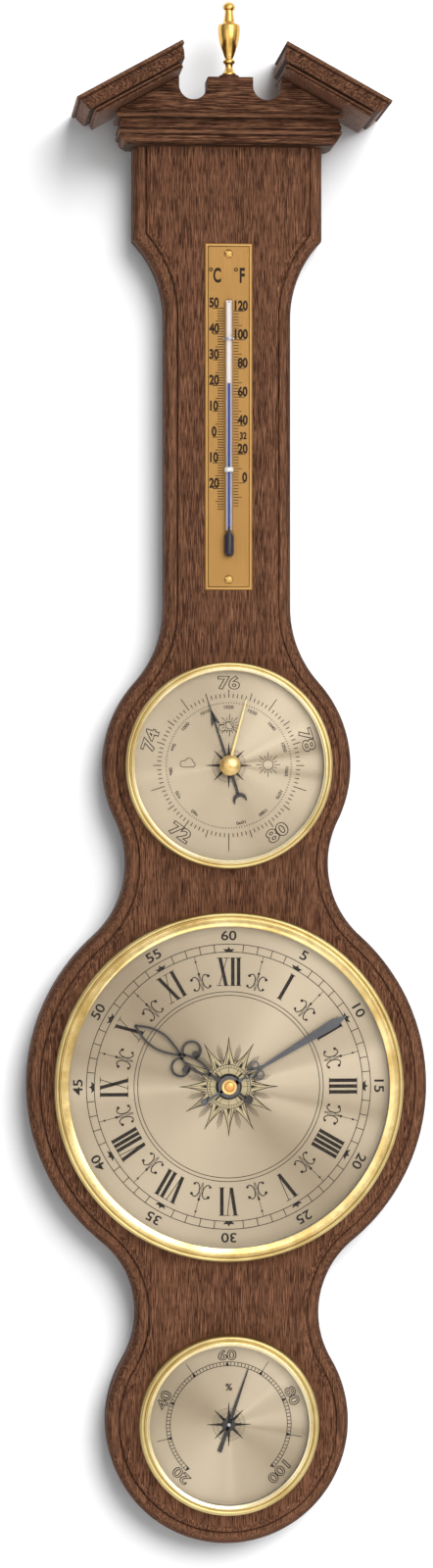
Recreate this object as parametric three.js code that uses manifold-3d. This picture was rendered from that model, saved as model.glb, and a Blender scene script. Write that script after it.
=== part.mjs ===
// A wall-hung weather station: a banjo-shaped wooden board under a broken pediment, which carries
// a thermometer, an aneroid barometer, a quartz clock and a hygrometer.
//
// Millimetres. +X is right, +Z is up, the wall is the plane y = 0 and the front faces -Y. The
// origin is where the wall screw bears in the hanger, on the wall plane. The pieces are drawn in
// a front view, x right, y up and z out from the wall, and the outermost group stands it up.

import * as THREE from 'three';
import { mergeVertices } from 'three/addons/utils/BufferGeometryUtils.js';
import Module from 'manifold-3d';

const wasm = await Module();
wasm.setup();

// Fits
const seatGap = 0.3;
const runningGap = 0.4;
const solderGap = 0.1;

// Board: a plank whose outline is three discs, a neck and a head, joined by hollow curves
const boardThickness = 20;
const boardTop = 23.5;
const headHalfWidth = 46.8;
const headLength = 45.3;
const neckHalfWidth = 31.3;
const shoulderRadius = 55;
const neckFootRadius = 55;
const upperWaistRadius = 48;
const lowerWaistRadius = 45.5;
const barometerDiscRadius = 61.3;
const clockDiscRadius = 99;
const hygrometerDiscRadius = 60;
const barometerBelowPlate = 86.3;
const clockBelowBarometer = 157.9;
const hygrometerBelowClock = 166.1;
const degreesPerFacet = 10;

// Moulded edge of the board, from the side wall to the flat field: distance in from the outline
// and drop below the field
const edgeMoulding = [
  [0, 9.0], [0.6, 6.4], [2.4, 4.4], [5.0, 3.6], [5.4, 1.8], [6.6, 0.4], [8.6, 0.4], [9.2, 1.0], [9.8, 0],
];

// Pediment
const corniceHalfWidth = 55.5;
const corniceDepth = 33;
const corniceHeight = 14.7;
const corniceMoulding = [
  [0, 0], [0.136, 0.2], [0.19, 2.6], [0.306, 2.2], [0.49, 0.9], [0.53, 1.3], [0.585, 0.8], [0.694, 1.4],
  [0.776, 3.0], [0.83, 4.6], [1, 5.2],
];
const tympanumHalfWidth = 54;
const tympanumEndHeight = 2.1;
const tympanumThickness = 18;
const tympanumSetback = 1.5;
const pedestalHalfWidth = 11.2;
const pedestalTop = 55.9;
const notchWidth = 13.9;
const notchCentreY = 52;
const rakeAngle = 28.8;
const rakeOverhang = 22.7;
const rakeDepth = 60;
const rakeThickness = 11.4;
const rakeUpperX = 25.4;
const rakeMoulding = [[0, 0], [0.16, 0], [0.19, 1.2], [0.5, 1.6], [0.72, 2.9], [0.74, 6.4], [0.87, 5.2], [1, 5.6]];

// Finial: a turned brass urn on a wooden button, with a stud that goes down into the pedestal
const buttonRadius = 5;
const buttonHeight = 2.3;
const finialStudRadius = 1.2;
const finialStudLength = 14;
const finialProfile = [
  [3.3, 0], [3.3, 0.8], [2.5, 2.0], [1.8, 4.4], [1.9, 5.2], [2.8, 6.3], [2.8, 7.2], [1.9, 8.0], [2.4, 8.9],
  [3.4, 12.0], [4.8, 15.8], [5.45, 20.5], [5.45, 22.8], [3.7, 23.4], [3.7, 24.9], [3.1, 25.3], [2.5, 28.4],
  [1.95, 31.6], [3.0, 32.8], [3.0, 34.2], [2.0, 35.8], [0, 36.2],
];

// Hanger: a keyhole plate let into the back of the board
const hangerWidth = 20;
const hangerTop = 17;
const hangerBottom = -24;
const hangerThickness = 1.5;
const keySlotRadius = 2.3;
const keyEntryRadius = 4.6;
const keyEntryDrop = 9;
const headPocketDepth = 7;
const hangerScrewY = 11.5;
const hangerLowScrewY = -19;

// Wood screws
const screwHeadRadius = 2.3;
const screwHeadHeight = 1.3;
const screwShankRadius = 1.1;
const screwLength = 12;
const screwSlotWidth = 0.6;
const screwSlotDepth = 0.6;

// Thermometer
const thermometerPlateWidth = 23.4;
const thermometerPlateTop = -24;
const thermometerPlateLength = 170.6;
const thermometerPlateThickness = 0.8;
const plateScrewInset = 5.2;
const tubeRadius = 1.7;
const tubeWall = 0.6;
const tubeInset = 27.5;
const bulbInset = 16;
const bulbLength = 12.9;
const bulbRadius = 2.5;
const bulbWall = 0.4;
const bulbMouthRadius = 0.6;
const liquidDrop = 41.4;
const upperClipDrop = 19.6;
const lowerClipRise = 30.1;
const clipWidth = 2.4;
const clipThickness = 0.35;
const clipFoot = 1.9;

// What the three round instruments share: a pressed pan in the board, with the dial on a ledge,
// the glass on the rim and a brass bezel over all
const panWall = 1;
const panFlangeThickness = 0.8;
const dialThickness = 0.8;
const dialSeat = 1.1;
const glassThickness = 1.6;
const rimShadow = 0.4;
const bezelSkirt = 1.05;
const bezelCrown = 2.6;
const bezelLip = 0.8;

const barometerOpening = 46.6;
const barometerBezelWidth = 4.35;
const barometerGlassSeat = 25.6;
const clockOpening = 78.9;
const clockBezelWidth = 7.05;
const clockGlassSeat = 26.4;
const clockRear = 8;
const hygrometerOpening = 39.2;
const hygrometerBezelWidth = 5.15;
const hygrometerGlassSeat = 25.6;
const hygrometerRear = 6;

// Barometer movement
const frameHalfHeight = 7;
const frameLeg = 3;
const framePlate = 1.2;
const frameBelowDial = 3;
const frameSideRoom = 4;
const capsuleRadius = 17;
const capsulePostRadius = 1.6;
const capsulePostLength = 1;
const capsulePostNub = 0.6;
const capsuleFootLength = 1.4;
const capsuleThickness = 5;
const leafThickness = 0.7;
const leafHalfWidth = 5;
const leafSideRoom = 3;
const rockerY = 5;
const rockerBelowFrame = 3.4;
const rockerClearance = 1.5;
const rockerRadius = 0.9;
const rockerArmLength = 18;
const rockerArmX = 12;
const barometerArborRadius = 0.9;
const barometerDrumRadius = 1.8;
const arborTail = 0.9;
const barometerPointerLength = 33.3;
const barometerPointerAngle = -18;
const setHandLength = 33.7;
const setHandAngle = 14.7;
const setKnobRadius = 5.1;
const setKnobHeight = 5.4;
const setStemRadius = 1.3;
const adjustingScrewY = 13;
const adjustingScrewRadius = 1.5;
const adjustingHeadRadius = 3;

// Clock movement
const movementWall = 1.5;
const movementCoverThickness = 1.4;
const bushWall = 0.8;
const bushHeight = 1.4;
const dialNutWall = 0.9;
const dialNutHeight = 1.1;
const hourTubeWall = 0.7;
const minuteArborRadius = 1.5;
const gearModule = 0.5;
const cannonTeeth = 10;
const minuteWheelTeeth = 30;
const minutePinionTeeth = 8;
const hourWheelTeeth = 32;
const gearThickness = 1.4;
const gearGap = 1;
const settingAngle = 40;
const settingShaftRadius = 1.2;
const settingKnobRadius = 5;
const settingKnobThickness = 2.2;
const settingKnobScallops = 12;
const settingKnobScallopDepth = 0.35;
const batteryRadius = 7;
const batteryLength = 49;
const batteryNubRadius = 2.7;
const batteryNubLength = 1.2;
const batteryPlay = 1.5;
const contactReach = 1.8;
const contactThickness = 0.4;
const coilRadius = 4.6;
const coilLength = 17;
const circuitWidth = 15;
const circuitHeight = 14;
const circuitThickness = 1.2;
const chipInset = 4;
const chipWidth = 6;
const chipHeight = 5;
const chipThickness = 1;

// Clock hands
const handThickness = 0.5;
const handGap = 0.5;
const handHubRadius = 5.4;
const hourHandLength = 55.8;
const hourHandAngle = -56.7;
const minuteHandLength = 67.9;
const minuteHandAngle = 59;
const minuteNutRadius = 3.9;
const minuteNutHeight = 1.1;

// Hygrometer movement
const hygrometerFrameHalf = 12.5;
const hygrometerArborRadius = 0.8;
const collarRadius = 2;
const stripInner = 2.7;
const stripOuter = 9.6;
const stripTurns = 3;
const stripThickness = 0.5;
const stripWidth = 5;
const hygrometerPointerLength = 29.3;
const hygrometerPointerAngle = 19.2;
const ventCount = 6;
const ventRadius = 2.5;
const ventCircle = 26;

// Heights down the upright centreline
const thermometerPlateBottom = thermometerPlateTop - thermometerPlateLength;
const barometerY = thermometerPlateBottom - barometerBelowPlate;
const clockY = barometerY - clockBelowBarometer;
const hygrometerY = clockY - hygrometerBelowClock;

// Facets of the round pieces
const largeRound = 36;
const mediumRound = 28;
const smallRound = 16;
const pinRound = 10;

const radians = THREE.MathUtils.degToRad;
const point = (x, y) => new THREE.Vector2(x, y);

// Closed solids out of three.js geometries

function signedVolume(geometry) {
  const at = geometry.attributes.position;
  const [a, b, c] = [new THREE.Vector3(), new THREE.Vector3(), new THREE.Vector3()];
  let volume = 0;
  for (let i = 0; i < geometry.index.count; i += 3) {
    a.fromBufferAttribute(at, geometry.index.getX(i));
    b.fromBufferAttribute(at, geometry.index.getX(i + 1));
    c.fromBufferAttribute(at, geometry.index.getX(i + 2));
    volume += a.dot(b.cross(c)) / 6;
  }
  return volume;
}

// Shared corners are merged, flat triangles dropped and the faces turned outwards
function weld(geometry) {
  const bare = geometry.clone();
  bare.deleteAttribute('normal');
  bare.deleteAttribute('uv');
  const merged = mergeVertices(bare, 1e-4);
  const corners = Array.from(merged.index.array);
  const kept = [];
  for (let i = 0; i < corners.length; i += 3) {
    const [a, b, c] = corners.slice(i, i + 3);
    if (a !== b && b !== c && c !== a) kept.push(a, b, c);
  }
  merged.setIndex(kept);
  if (signedVolume(merged) < 0) merged.setIndex(kept.reverse());
  return merged;
}

function toSolid(geometry) {
  const welded = weld(geometry);
  return new wasm.Manifold(new wasm.Mesh({
    numProp: 3,
    vertProperties: Float32Array.from(welded.attributes.position.array),
    triVerts: Uint32Array.from(welded.index.array),
  }));
}

function fromSolid(solid) {
  const mesh = solid.getMesh();
  const geometry = new THREE.BufferGeometry();
  geometry.setAttribute('position', new THREE.BufferAttribute(Float32Array.from(mesh.vertProperties), 3));
  geometry.setIndex(Array.from(mesh.triVerts));
  return geometry;
}

const join = (first, ...others) => fromSolid(
  others.reduce((sum, geometry) => sum.add(toSolid(geometry)), toSolid(first)));

const cut = (body, ...tools) => fromSolid(
  tools.reduce((rest, geometry) => rest.subtract(toSolid(geometry)), toSolid(body)));

// A profile of [radius, height] turned round the axis that points out of the wall
function turnOut(profile, segments) {
  return turnUp(profile, segments).rotateX(Math.PI / 2);
}

// The same, round an upright axis
function turnUp(profile, segments) {
  return new THREE.LatheGeometry(profile.map(([r, h]) => point(r, h)), segments);
}

// The same, round an axis that points right
function turnAcross(profile, segments) {
  return turnUp(profile, segments).rotateZ(-Math.PI / 2);
}

const rod = (radius, low, high) => [[0, low], [radius, low], [radius, high], [0, high]];
const ring = (inner, outer, low, high) => [
  [inner, low], [outer, low], [outer, high], [inner, high], [inner, low],
];

// A flat shape in the front view, as thick as from depth low to depth high
function plate(shape, low, high, curveSegments = 8) {
  const geometry = new THREE.ExtrudeGeometry(shape, {
    depth: high - low, bevelEnabled: false, curveSegments, steps: 1,
  });
  return geometry.translate(0, 0, low);
}

function block(x0, x1, y0, y1, z0, z1) {
  const geometry = new THREE.BoxGeometry(x1 - x0, y1 - y0, z1 - z0);
  return geometry.translate((x0 + x1) / 2, (y0 + y1) / 2, (z0 + z1) / 2);
}

// Skin through rings of equally many points, closed by a flat cap at each end. The flat places
// u, v of a ring run anticlockwise, seen from where the rings go.
function loft(rings) {
  const count = rings[0].length;
  const positions = rings.flatMap((corners) => corners.flatMap((p) => [p.x, p.y, p.z]));
  const index = [];
  for (let level = 0; level < rings.length - 1; level += 1) {
    for (let i = 0; i < count; i += 1) {
      const [a, b] = [level * count + i, level * count + ((i + 1) % count)];
      index.push(a, b, b + count, a, b + count, a + count);
    }
  }
  const last = (rings.length - 1) * count;
  const cap = (ring) => THREE.ShapeUtils.triangulateShape(ring.map((p) => point(p.u, p.v)), []);
  for (const [a, b, c] of cap(rings[0])) index.push(c, b, a);
  for (const [a, b, c] of cap(rings[rings.length - 1])) index.push(last + a, last + b, last + c);
  const geometry = new THREE.BufferGeometry();
  geometry.setAttribute('position', new THREE.Float32BufferAttribute(positions, 3));
  geometry.setIndex(index);
  return geometry;
}

// A bar against the wall whose moulding is mitred round its front and both ends. The moulding
// lists how far down each line lies, as a share of the height, and how far in.
function mouldedBar(halfLength, depth, height, moulding) {
  return loft(moulding.map(([share, inset]) => {
    const [end, front, y] = [halfLength - inset, depth - inset, -share * height];
    const corners = [[-end, 0], [end, 0], [end, front], [-end, front]];
    return corners.map(([x, z]) => ({ x, y, z, u: x, v: z }));
  }));
}

// Board outline

const facets = (from, to) => Math.max(2, Math.round(Math.abs(to - from) / radians(degreesPerFacet)));

function arcPoints(centre, radius, from, to, steps = facets(from, to)) {
  return Array.from({ length: steps + 1 }, (_, i) => {
    const angle = from + ((to - from) * i) / steps;
    return point(centre.x + radius * Math.cos(angle), centre.y + radius * Math.sin(angle));
  });
}

const bearing = (from, to) => Math.atan2(to.y - from.y, to.x - from.x);
const fullTurn = (angle) => (angle < 0 ? angle + 2 * Math.PI : angle);

// Centre of the hollow curve that touches two discs on the upright centreline from outside
function waistCentre(upper, lower, radius) {
  const [a, b] = [upper.radius + radius, lower.radius + radius];
  const y = (a * a - b * b + lower.y ** 2 - upper.y ** 2) / (2 * (lower.y - upper.y));
  return point(Math.sqrt(a * a - (upper.y - y) ** 2), y);
}

const barometerDisc = { x: 0, y: barometerY, radius: barometerDiscRadius };
const clockDisc = { x: 0, y: clockY, radius: clockDiscRadius };
const hygrometerDisc = { x: 0, y: hygrometerY, radius: hygrometerDiscRadius };

// Right side of the outline from the top down, drawn in by inset and then mirrored to the left
function boardOutline(inset) {
  const headBottom = boardTop - headLength;
  const shoulderX = neckHalfWidth + shoulderRadius;
  const shoulderY = headBottom - Math.sqrt(shoulderRadius ** 2 - (shoulderX - headHalfWidth) ** 2);
  const shoulder = point(shoulderX, shoulderY);
  const hollow = shoulderRadius + inset;
  const cornerX = headHalfWidth - inset;
  const corner = point(cornerX, shoulderY + Math.sqrt(hollow ** 2 - (shoulderX - cornerX) ** 2));
  const footX = neckHalfWidth + neckFootRadius;
  const footReach = neckFootRadius + barometerDiscRadius;
  const foot = point(footX, barometerY + Math.sqrt(footReach ** 2 - footX ** 2));
  const upper = waistCentre(barometerDisc, clockDisc, upperWaistRadius);
  const lower = waistCentre(clockDisc, hygrometerDisc, lowerWaistRadius);
  const shoulderFacets = facets(bearing(shoulder, point(headHalfWidth, headBottom)), Math.PI);
  const right = [
    point(cornerX, boardTop),
    ...arcPoints(shoulder, hollow, bearing(shoulder, corner), Math.PI, shoulderFacets),
    ...arcPoints(foot, neckFootRadius + inset, Math.PI, fullTurn(bearing(foot, barometerDisc))),
    ...arcPoints(barometerDisc, barometerDisc.radius - inset, bearing(barometerDisc, foot),
      bearing(barometerDisc, upper)).slice(1),
    ...arcPoints(upper, upperWaistRadius + inset, bearing(upper, barometerDisc),
      fullTurn(bearing(upper, clockDisc))).slice(1),
    ...arcPoints(clockDisc, clockDisc.radius - inset, bearing(clockDisc, upper),
      bearing(clockDisc, lower)).slice(1),
    ...arcPoints(lower, lowerWaistRadius + inset, bearing(lower, clockDisc),
      fullTurn(bearing(lower, hygrometerDisc))).slice(1),
    ...arcPoints(hygrometerDisc, hygrometerDisc.radius - inset, bearing(hygrometerDisc, lower),
      -Math.PI / 2).slice(1),
  ];
  const left = right.slice(0, -1).reverse().map((p) => point(-p.x, p.y));
  return [...right, ...left].reverse();
}

function screwHole(x, y, front, length) {
  return turnOut(rod(screwShankRadius + seatGap, front - length - 1, front + 1), pinRound).translate(x, y, 0);
}

// Keyhole outline: a round entry below and a narrow slot that ends at the origin
function keyhole(spread = 0) {
  const [slot, entry] = [keySlotRadius + spread, keyEntryRadius + spread];
  const meet = Math.asin(slot / entry);
  const shape = new THREE.Path();
  shape.absarc(0, 0, slot, 0, Math.PI, false);
  shape.absarc(0, -keyEntryDrop, entry, Math.PI / 2 + meet, Math.PI / 2 - meet + 2 * Math.PI, false);
  shape.closePath();
  return shape;
}

function backBoard() {
  const levels = [[0, boardThickness], ...edgeMoulding];
  const rings = levels.map(([inset, drop]) => boardOutline(inset).map((p) => (
    { x: p.x, y: p.y, z: boardThickness - drop, u: p.x, v: p.y })));
  const bores = [
    [barometerY, pans.barometer], [clockY, pans.clock], [hygrometerY, pans.hygrometer],
  ].map(([y, pan]) => turnOut(rod(pan.bore, -1, boardThickness + 1), pan.segments).translate(0, y, 0));
  const recessHalf = hangerWidth / 2 + seatGap;
  const recess = block(-recessHalf, recessHalf, hangerBottom - seatGap, hangerTop + seatGap,
    -1, seatGap + hangerThickness);
  const headPocket = plate(new THREE.Shape(keyhole(1.2).getPoints(8)), -1, headPocketDepth);
  return cut(loft(rings), ...bores, recess, headPocket,
    screwHole(0, upperPlateScrewY, boardThickness, screwLength),
    screwHole(0, lowerPlateScrewY, boardThickness, screwLength),
    screwHole(0, hangerScrewY, screwLength + hangerThickness, screwLength),
    screwHole(0, hangerLowScrewY, screwLength + hangerThickness, screwLength));
}

// Pediment

const corniceTop = boardTop + corniceHeight;
const rakeSlope = Math.tan(radians(rakeAngle));
const rakeCosine = Math.cos(radians(rakeAngle));
const rakeDrop = (rakeThickness + seatGap) / rakeCosine;
const rakeLength = (tympanumHalfWidth + rakeOverhang - rakeUpperX) / rakeCosine;
const rakeUpperY = corniceTop + tympanumEndHeight + rakeSlope * (tympanumHalfWidth - rakeUpperX) + rakeDrop;

// Height of the underside of a raking cornice, less its gap, at a distance from the middle
const rakeUnderside = (x) => rakeUpperY - rakeSlope * (x - rakeUpperX) - rakeDrop;

const tympanumFront = corniceDepth - tympanumSetback;
const finialDepth = tympanumFront - tympanumThickness / 2;

function corniceBlock() {
  return mouldedBar(corniceHalfWidth, corniceDepth, corniceHeight, corniceMoulding).translate(0, corniceTop, 0);
}

function tympanum() {
  const notchRadius = notchWidth / 2;
  const notchX = pedestalHalfWidth + notchRadius;
  const outerWall = pedestalHalfWidth + notchWidth;
  const shape = new THREE.Shape();
  shape.moveTo(-tympanumHalfWidth, corniceTop);
  shape.lineTo(tympanumHalfWidth, corniceTop);
  shape.lineTo(tympanumHalfWidth, rakeUnderside(tympanumHalfWidth));
  shape.lineTo(outerWall, rakeUnderside(outerWall));
  shape.absarc(notchX, notchCentreY, notchRadius, 0, -Math.PI, true);
  shape.lineTo(pedestalHalfWidth, pedestalTop);
  shape.lineTo(-pedestalHalfWidth, pedestalTop);
  shape.absarc(-notchX, notchCentreY, notchRadius, 0, -Math.PI, true);
  shape.lineTo(-outerWall, rakeUnderside(outerWall));
  shape.lineTo(-tympanumHalfWidth, rakeUnderside(tympanumHalfWidth));
  shape.closePath();
  const studHole = turnUp(rod(finialStudRadius + seatGap, pedestalTop - finialStudLength - 1, pedestalTop + 1),
    pinRound);
  return cut(plate(shape, tympanumFront - tympanumThickness, tympanumFront, 10),
    studHole.translate(0, 0, finialDepth));
}

// One raking cornice, drawn level with the middle of its top edge at the origin
function rakingCornice() {
  return mouldedBar(rakeLength / 2, rakeDepth, rakeThickness, rakeMoulding);
}

function finialButton() {
  const top = pedestalTop + buttonHeight;
  return turnUp([
    [finialStudRadius + seatGap, pedestalTop], [buttonRadius, pedestalTop], [buttonRadius, top - 0.8],
    [buttonRadius - 0.8, top], [finialStudRadius + seatGap, top], [finialStudRadius + seatGap, pedestalTop],
  ], smallRound);
}

function finial() {
  const foot = pedestalTop + buttonHeight;
  const stud = [[0, foot - finialStudLength], [finialStudRadius, foot - finialStudLength],
    [finialStudRadius, foot]];
  return turnUp([...stud, ...finialProfile.map(([r, h]) => [r, foot + h])], smallRound);
}

// Fasteners

// A slotted round-head screw whose head seats at the origin and points out of the wall
function woodScrew() {
  const body = turnOut([
    [0, -screwLength], [screwShankRadius, -screwLength + 2], [screwShankRadius, 0], [screwHeadRadius, 0],
    [screwHeadRadius * 0.8, screwHeadHeight * 0.75], [0, screwHeadHeight],
  ], pinRound);
  return cut(body, block(-screwHeadRadius, screwHeadRadius, -screwSlotWidth / 2, screwSlotWidth / 2,
    screwHeadHeight - screwSlotDepth, screwHeadHeight + 1));
}

// A slotted countersunk screw whose flat head is level with the origin and points out of the wall
function countersunkScrew(headDepth) {
  const body = turnOut([
    [0, -screwLength], [screwShankRadius, -screwLength + 2], [screwShankRadius, -headDepth],
    [screwHeadRadius, 0], [0, 0],
  ], pinRound);
  return cut(body, block(-screwHeadRadius, screwHeadRadius, -screwSlotWidth / 2, screwSlotWidth / 2,
    -screwSlotDepth, 1));
}

const hangerFront = seatGap + hangerThickness;

// The plate lies in its recess, a little below the board's back face, with its holes sunk from behind
function hangerPlate() {
  const half = hangerWidth / 2;
  const shape = new THREE.Shape([
    point(-half, hangerBottom), point(half, hangerBottom), point(half, hangerTop), point(-half, hangerTop),
  ]);
  shape.holes.push(keyhole());
  const sink = (y) => turnOut([
    [0, seatGap - 1], [screwHeadRadius + seatGap, seatGap - 1], [screwHeadRadius + seatGap, seatGap],
    [screwShankRadius + seatGap, hangerFront], [screwShankRadius + seatGap, hangerFront + 1],
    [0, hangerFront + 1],
  ], pinRound).translate(0, y, 0);
  return cut(plate(shape, seatGap, hangerFront, 6), sink(hangerScrewY), sink(hangerLowScrewY));
}

// Thermometer

const tubeTop = thermometerPlateTop - tubeInset;
const bulbBottom = thermometerPlateBottom + bulbInset;
const bulbTop = bulbBottom + bulbLength;
const liquidTop = tubeTop - liquidDrop;
const upperClipY = tubeTop - upperClipDrop;
const lowerClipY = bulbTop + lowerClipRise;
const upperPlateScrewY = thermometerPlateTop - plateScrewInset;
const lowerPlateScrewY = thermometerPlateBottom + plateScrewInset;
const plateFront = boardThickness + thermometerPlateThickness;
const tubeRise = seatGap + bulbRadius;
const tubeDepth = plateFront + tubeRise;

function thermometerPlate() {
  const half = thermometerPlateWidth / 2;
  const shape = new THREE.Shape([
    point(-half, thermometerPlateBottom), point(half, thermometerPlateBottom),
    point(half, thermometerPlateTop), point(-half, thermometerPlateTop),
  ]);
  for (const y of [upperPlateScrewY, lowerPlateScrewY]) {
    shape.holes.push(new THREE.Path().absarc(0, y, screwShankRadius + seatGap, 0, 2 * Math.PI, false));
  }
  return plate(shape, boardThickness, plateFront, 6);
}

// Glass stem and bulb in one, with the bore open at the foot of the bulb
function thermometerTube() {
  const bore = tubeRadius - tubeWall;
  const bulbBore = bulbRadius - bulbWall;
  const taper = bulbRadius - tubeRadius + 0.6;
  return turnUp([
    [0, tubeTop], [tubeRadius * 0.6, tubeTop - 0.3], [tubeRadius, tubeTop - 1.2],
    [tubeRadius, bulbTop], [bulbRadius, bulbTop - taper], [bulbRadius, bulbBottom + 1.4],
    [bulbMouthRadius + bulbWall, bulbBottom], [bulbMouthRadius, bulbBottom],
    [bulbBore, bulbBottom + 1.6], [bulbBore, bulbTop - taper - 0.2], [bore, bulbTop - 0.2],
    [bore, tubeTop - 2.4], [0, tubeTop - 1.8],
  ], pinRound);
}

function thermometerLiquid() {
  const column = tubeRadius - tubeWall - seatGap;
  const fill = bulbRadius - bulbWall - seatGap;
  const taper = bulbRadius - tubeRadius + 0.6;
  return turnUp([
    [0, liquidTop], [column, liquidTop], [column, bulbTop - 0.4], [fill, bulbTop - taper - 0.6],
    [fill, bulbBottom + 1.9], [0, bulbBottom + 0.6],
  ], pinRound);
}

// A strap over the tube, with a foot on the plate at each side
function tubeClip() {
  const inner = tubeRadius + seatGap;
  const outer = inner + clipThickness;
  const foot = outer + clipFoot;
  const shape = new THREE.Shape();
  shape.moveTo(-foot, 0);
  shape.lineTo(-inner, 0);
  shape.lineTo(-inner, tubeRise);
  shape.absarc(0, tubeRise, inner, Math.PI, 0, true);
  shape.lineTo(inner, 0);
  shape.lineTo(foot, 0);
  shape.lineTo(foot, clipThickness);
  shape.lineTo(outer, clipThickness);
  shape.lineTo(outer, tubeRise);
  shape.absarc(0, tubeRise, outer, 0, Math.PI, false);
  shape.lineTo(-outer, clipThickness);
  shape.lineTo(-foot, clipThickness);
  shape.closePath();
  return plate(shape, -clipWidth / 2, clipWidth / 2, 8).rotateX(Math.PI / 2).translate(0, 0, plateFront);
}

// Round instruments

function panSizes(opening, bezelWidth, glassSeat, rear, segments) {
  const bezelRadius = opening + bezelWidth;
  const rim = opening + rimShadow;
  const dial = rim - seatGap;
  const tube = rim + panWall;
  const skirt = bezelRadius - bezelSkirt;
  return {
    opening, bezelRadius, glassSeat, rear, segments, rim, dial, tube, skirt,
    ledge: dial - dialSeat,
    bore: tube + runningGap,
    flange: skirt - seatGap,
    glass: tube - solderGap,
    glassTop: glassSeat + glassThickness,
  };
}

const dialBack = boardThickness + panFlangeThickness;
const dialFront = dialBack + dialThickness;

// The barometer's movement is stacked down from its dial, and the pan's floor lies under it
const frameTop = dialBack - frameBelowDial;
const rockerZ = frameTop - rockerBelowFrame;
const capsulePostTop = rockerZ - rockerClearance;
const leafHeight = capsulePostTop - capsulePostNub - leafThickness;
const capsuleTop = leafHeight - capsulePostLength;
const capsuleBottom = capsuleTop - capsuleThickness;
const frameBase = capsuleBottom - capsuleFootLength;
const barometerFloor = frameBase - framePlate;
const barometerRear = barometerFloor - panWall;

const pans = {
  barometer: panSizes(barometerOpening, barometerBezelWidth, barometerGlassSeat, barometerRear, mediumRound),
  clock: panSizes(clockOpening, clockBezelWidth, clockGlassSeat, clockRear, largeRound),
  hygrometer: panSizes(hygrometerOpening, hygrometerBezelWidth, hygrometerGlassSeat, hygrometerRear, mediumRound),
};

// The pan's wall: its flange lies on the board and its inner step carries the dial
function panWallProfile(pan) {
  return [
    [pan.tube, pan.rear], [pan.tube, boardThickness], [pan.flange, boardThickness], [pan.flange, dialBack],
    [pan.tube, dialBack], [pan.tube, pan.glassSeat], [pan.rim, pan.glassSeat], [pan.rim, dialBack],
    [pan.ledge, dialBack],
  ];
}

function closedPan(pan, ...holes) {
  const inside = pan.rear + panWall;
  const body = turnOut([[0, pan.rear], ...panWallProfile(pan), [pan.ledge, inside], [0, inside]], pan.segments);
  return cut(body, ...holes);
}

function openPan(pan) {
  const wall = panWallProfile(pan);
  return turnOut([[pan.ledge, pan.rear], ...wall, [pan.ledge, pan.rear]], pan.segments);
}

const dialPlate = (pan, holeRadius) => turnOut(ring(holeRadius, pan.dial, dialBack, dialFront), pan.segments);

// Flat glass with its front edge eased
function glassPane(pan, holeRadius) {
  const ease = glassThickness * 0.3;
  const [low, high] = [pan.glassSeat, pan.glassTop];
  const rim = [[pan.glass, low], [pan.glass, high - ease], [pan.glass - ease, high]];
  if (holeRadius === 0) return turnOut([[0, low], ...rim, [0, high]], pan.segments);
  return turnOut([[holeRadius, low], ...rim, [holeRadius, high], [holeRadius, low]], pan.segments);
}

// Brass bezel: a skirt round the flange, a crown, and a lip that slopes in over the glass
function bezel(pan) {
  const crest = pan.glassTop + bezelLip;
  const wall = pan.tube + seatGap;
  return turnOut([
    [pan.skirt, boardThickness], [pan.bezelRadius, boardThickness],
    [pan.bezelRadius, boardThickness + (crest - boardThickness) * 0.45],
    [pan.bezelRadius - bezelCrown * 0.3, crest - (crest - boardThickness) * 0.2],
    [pan.bezelRadius - bezelCrown, crest], [pan.opening, pan.glassTop + bezelLip * 0.3],
    [pan.opening, pan.glassTop], [wall, pan.glassTop], [wall, dialBack + seatGap],
    [pan.skirt, dialBack + seatGap], [pan.skirt, boardThickness],
  ], pan.segments);
}

// Barometer movement

const pointerLow = dialFront + 0.7;
const pointerHigh = pointerLow + 0.4;
const setHandLow = pointerHigh + 1;
const setHandHigh = setHandLow + 0.4;
const frameHalfWidth = capsuleRadius + frameSideRoom + frameLeg;
const leafReach = capsuleRadius + leafSideRoom;

// A rectangular frame that stands on the pan's floor and bridges the capsule
function barometerFrame() {
  const half = frameHalfWidth;
  const body = block(-half, half, -frameHalfHeight, frameHalfHeight, barometerFloor, frameTop);
  const window = block(-half + frameLeg, half - frameLeg, -frameHalfHeight - 1, frameHalfHeight + 1,
    frameBase, frameTop - framePlate);
  const arborHole = turnOut(rod(barometerArborRadius + runningGap, frameTop - framePlate - 1, frameTop + 1),
    pinRound);
  const pivots = turnAcross(rod(rockerRadius + runningGap, -half - 1, half + 1), pinRound);
  return cut(body, window, arborHole, pivots.translate(0, rockerY, rockerZ));
}

// Two corrugated diaphragms soldered at the rim, with a post above and below
function aneroidCapsule() {
  const top = capsuleTop;
  const wave = 0.5;
  const waves = [0.2, 0.38, 0.56, 0.74, 0.9];
  const lower = waves.map((share, i) => [capsuleRadius * share, capsuleBottom + (i % 2) * wave]);
  const upper = waves.map((share, i) => [capsuleRadius * share, top - (i % 2) * wave]).reverse();
  return turnOut([
    [0, frameBase], [capsulePostRadius, frameBase], [capsulePostRadius, capsuleBottom], ...lower,
    [capsuleRadius, (capsuleBottom + top) / 2 - 0.6], [capsuleRadius, (capsuleBottom + top) / 2 + 0.6],
    ...upper, [capsulePostRadius, top], [capsulePostRadius, capsulePostTop], [0, capsulePostTop],
  ], smallRound);
}

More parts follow.
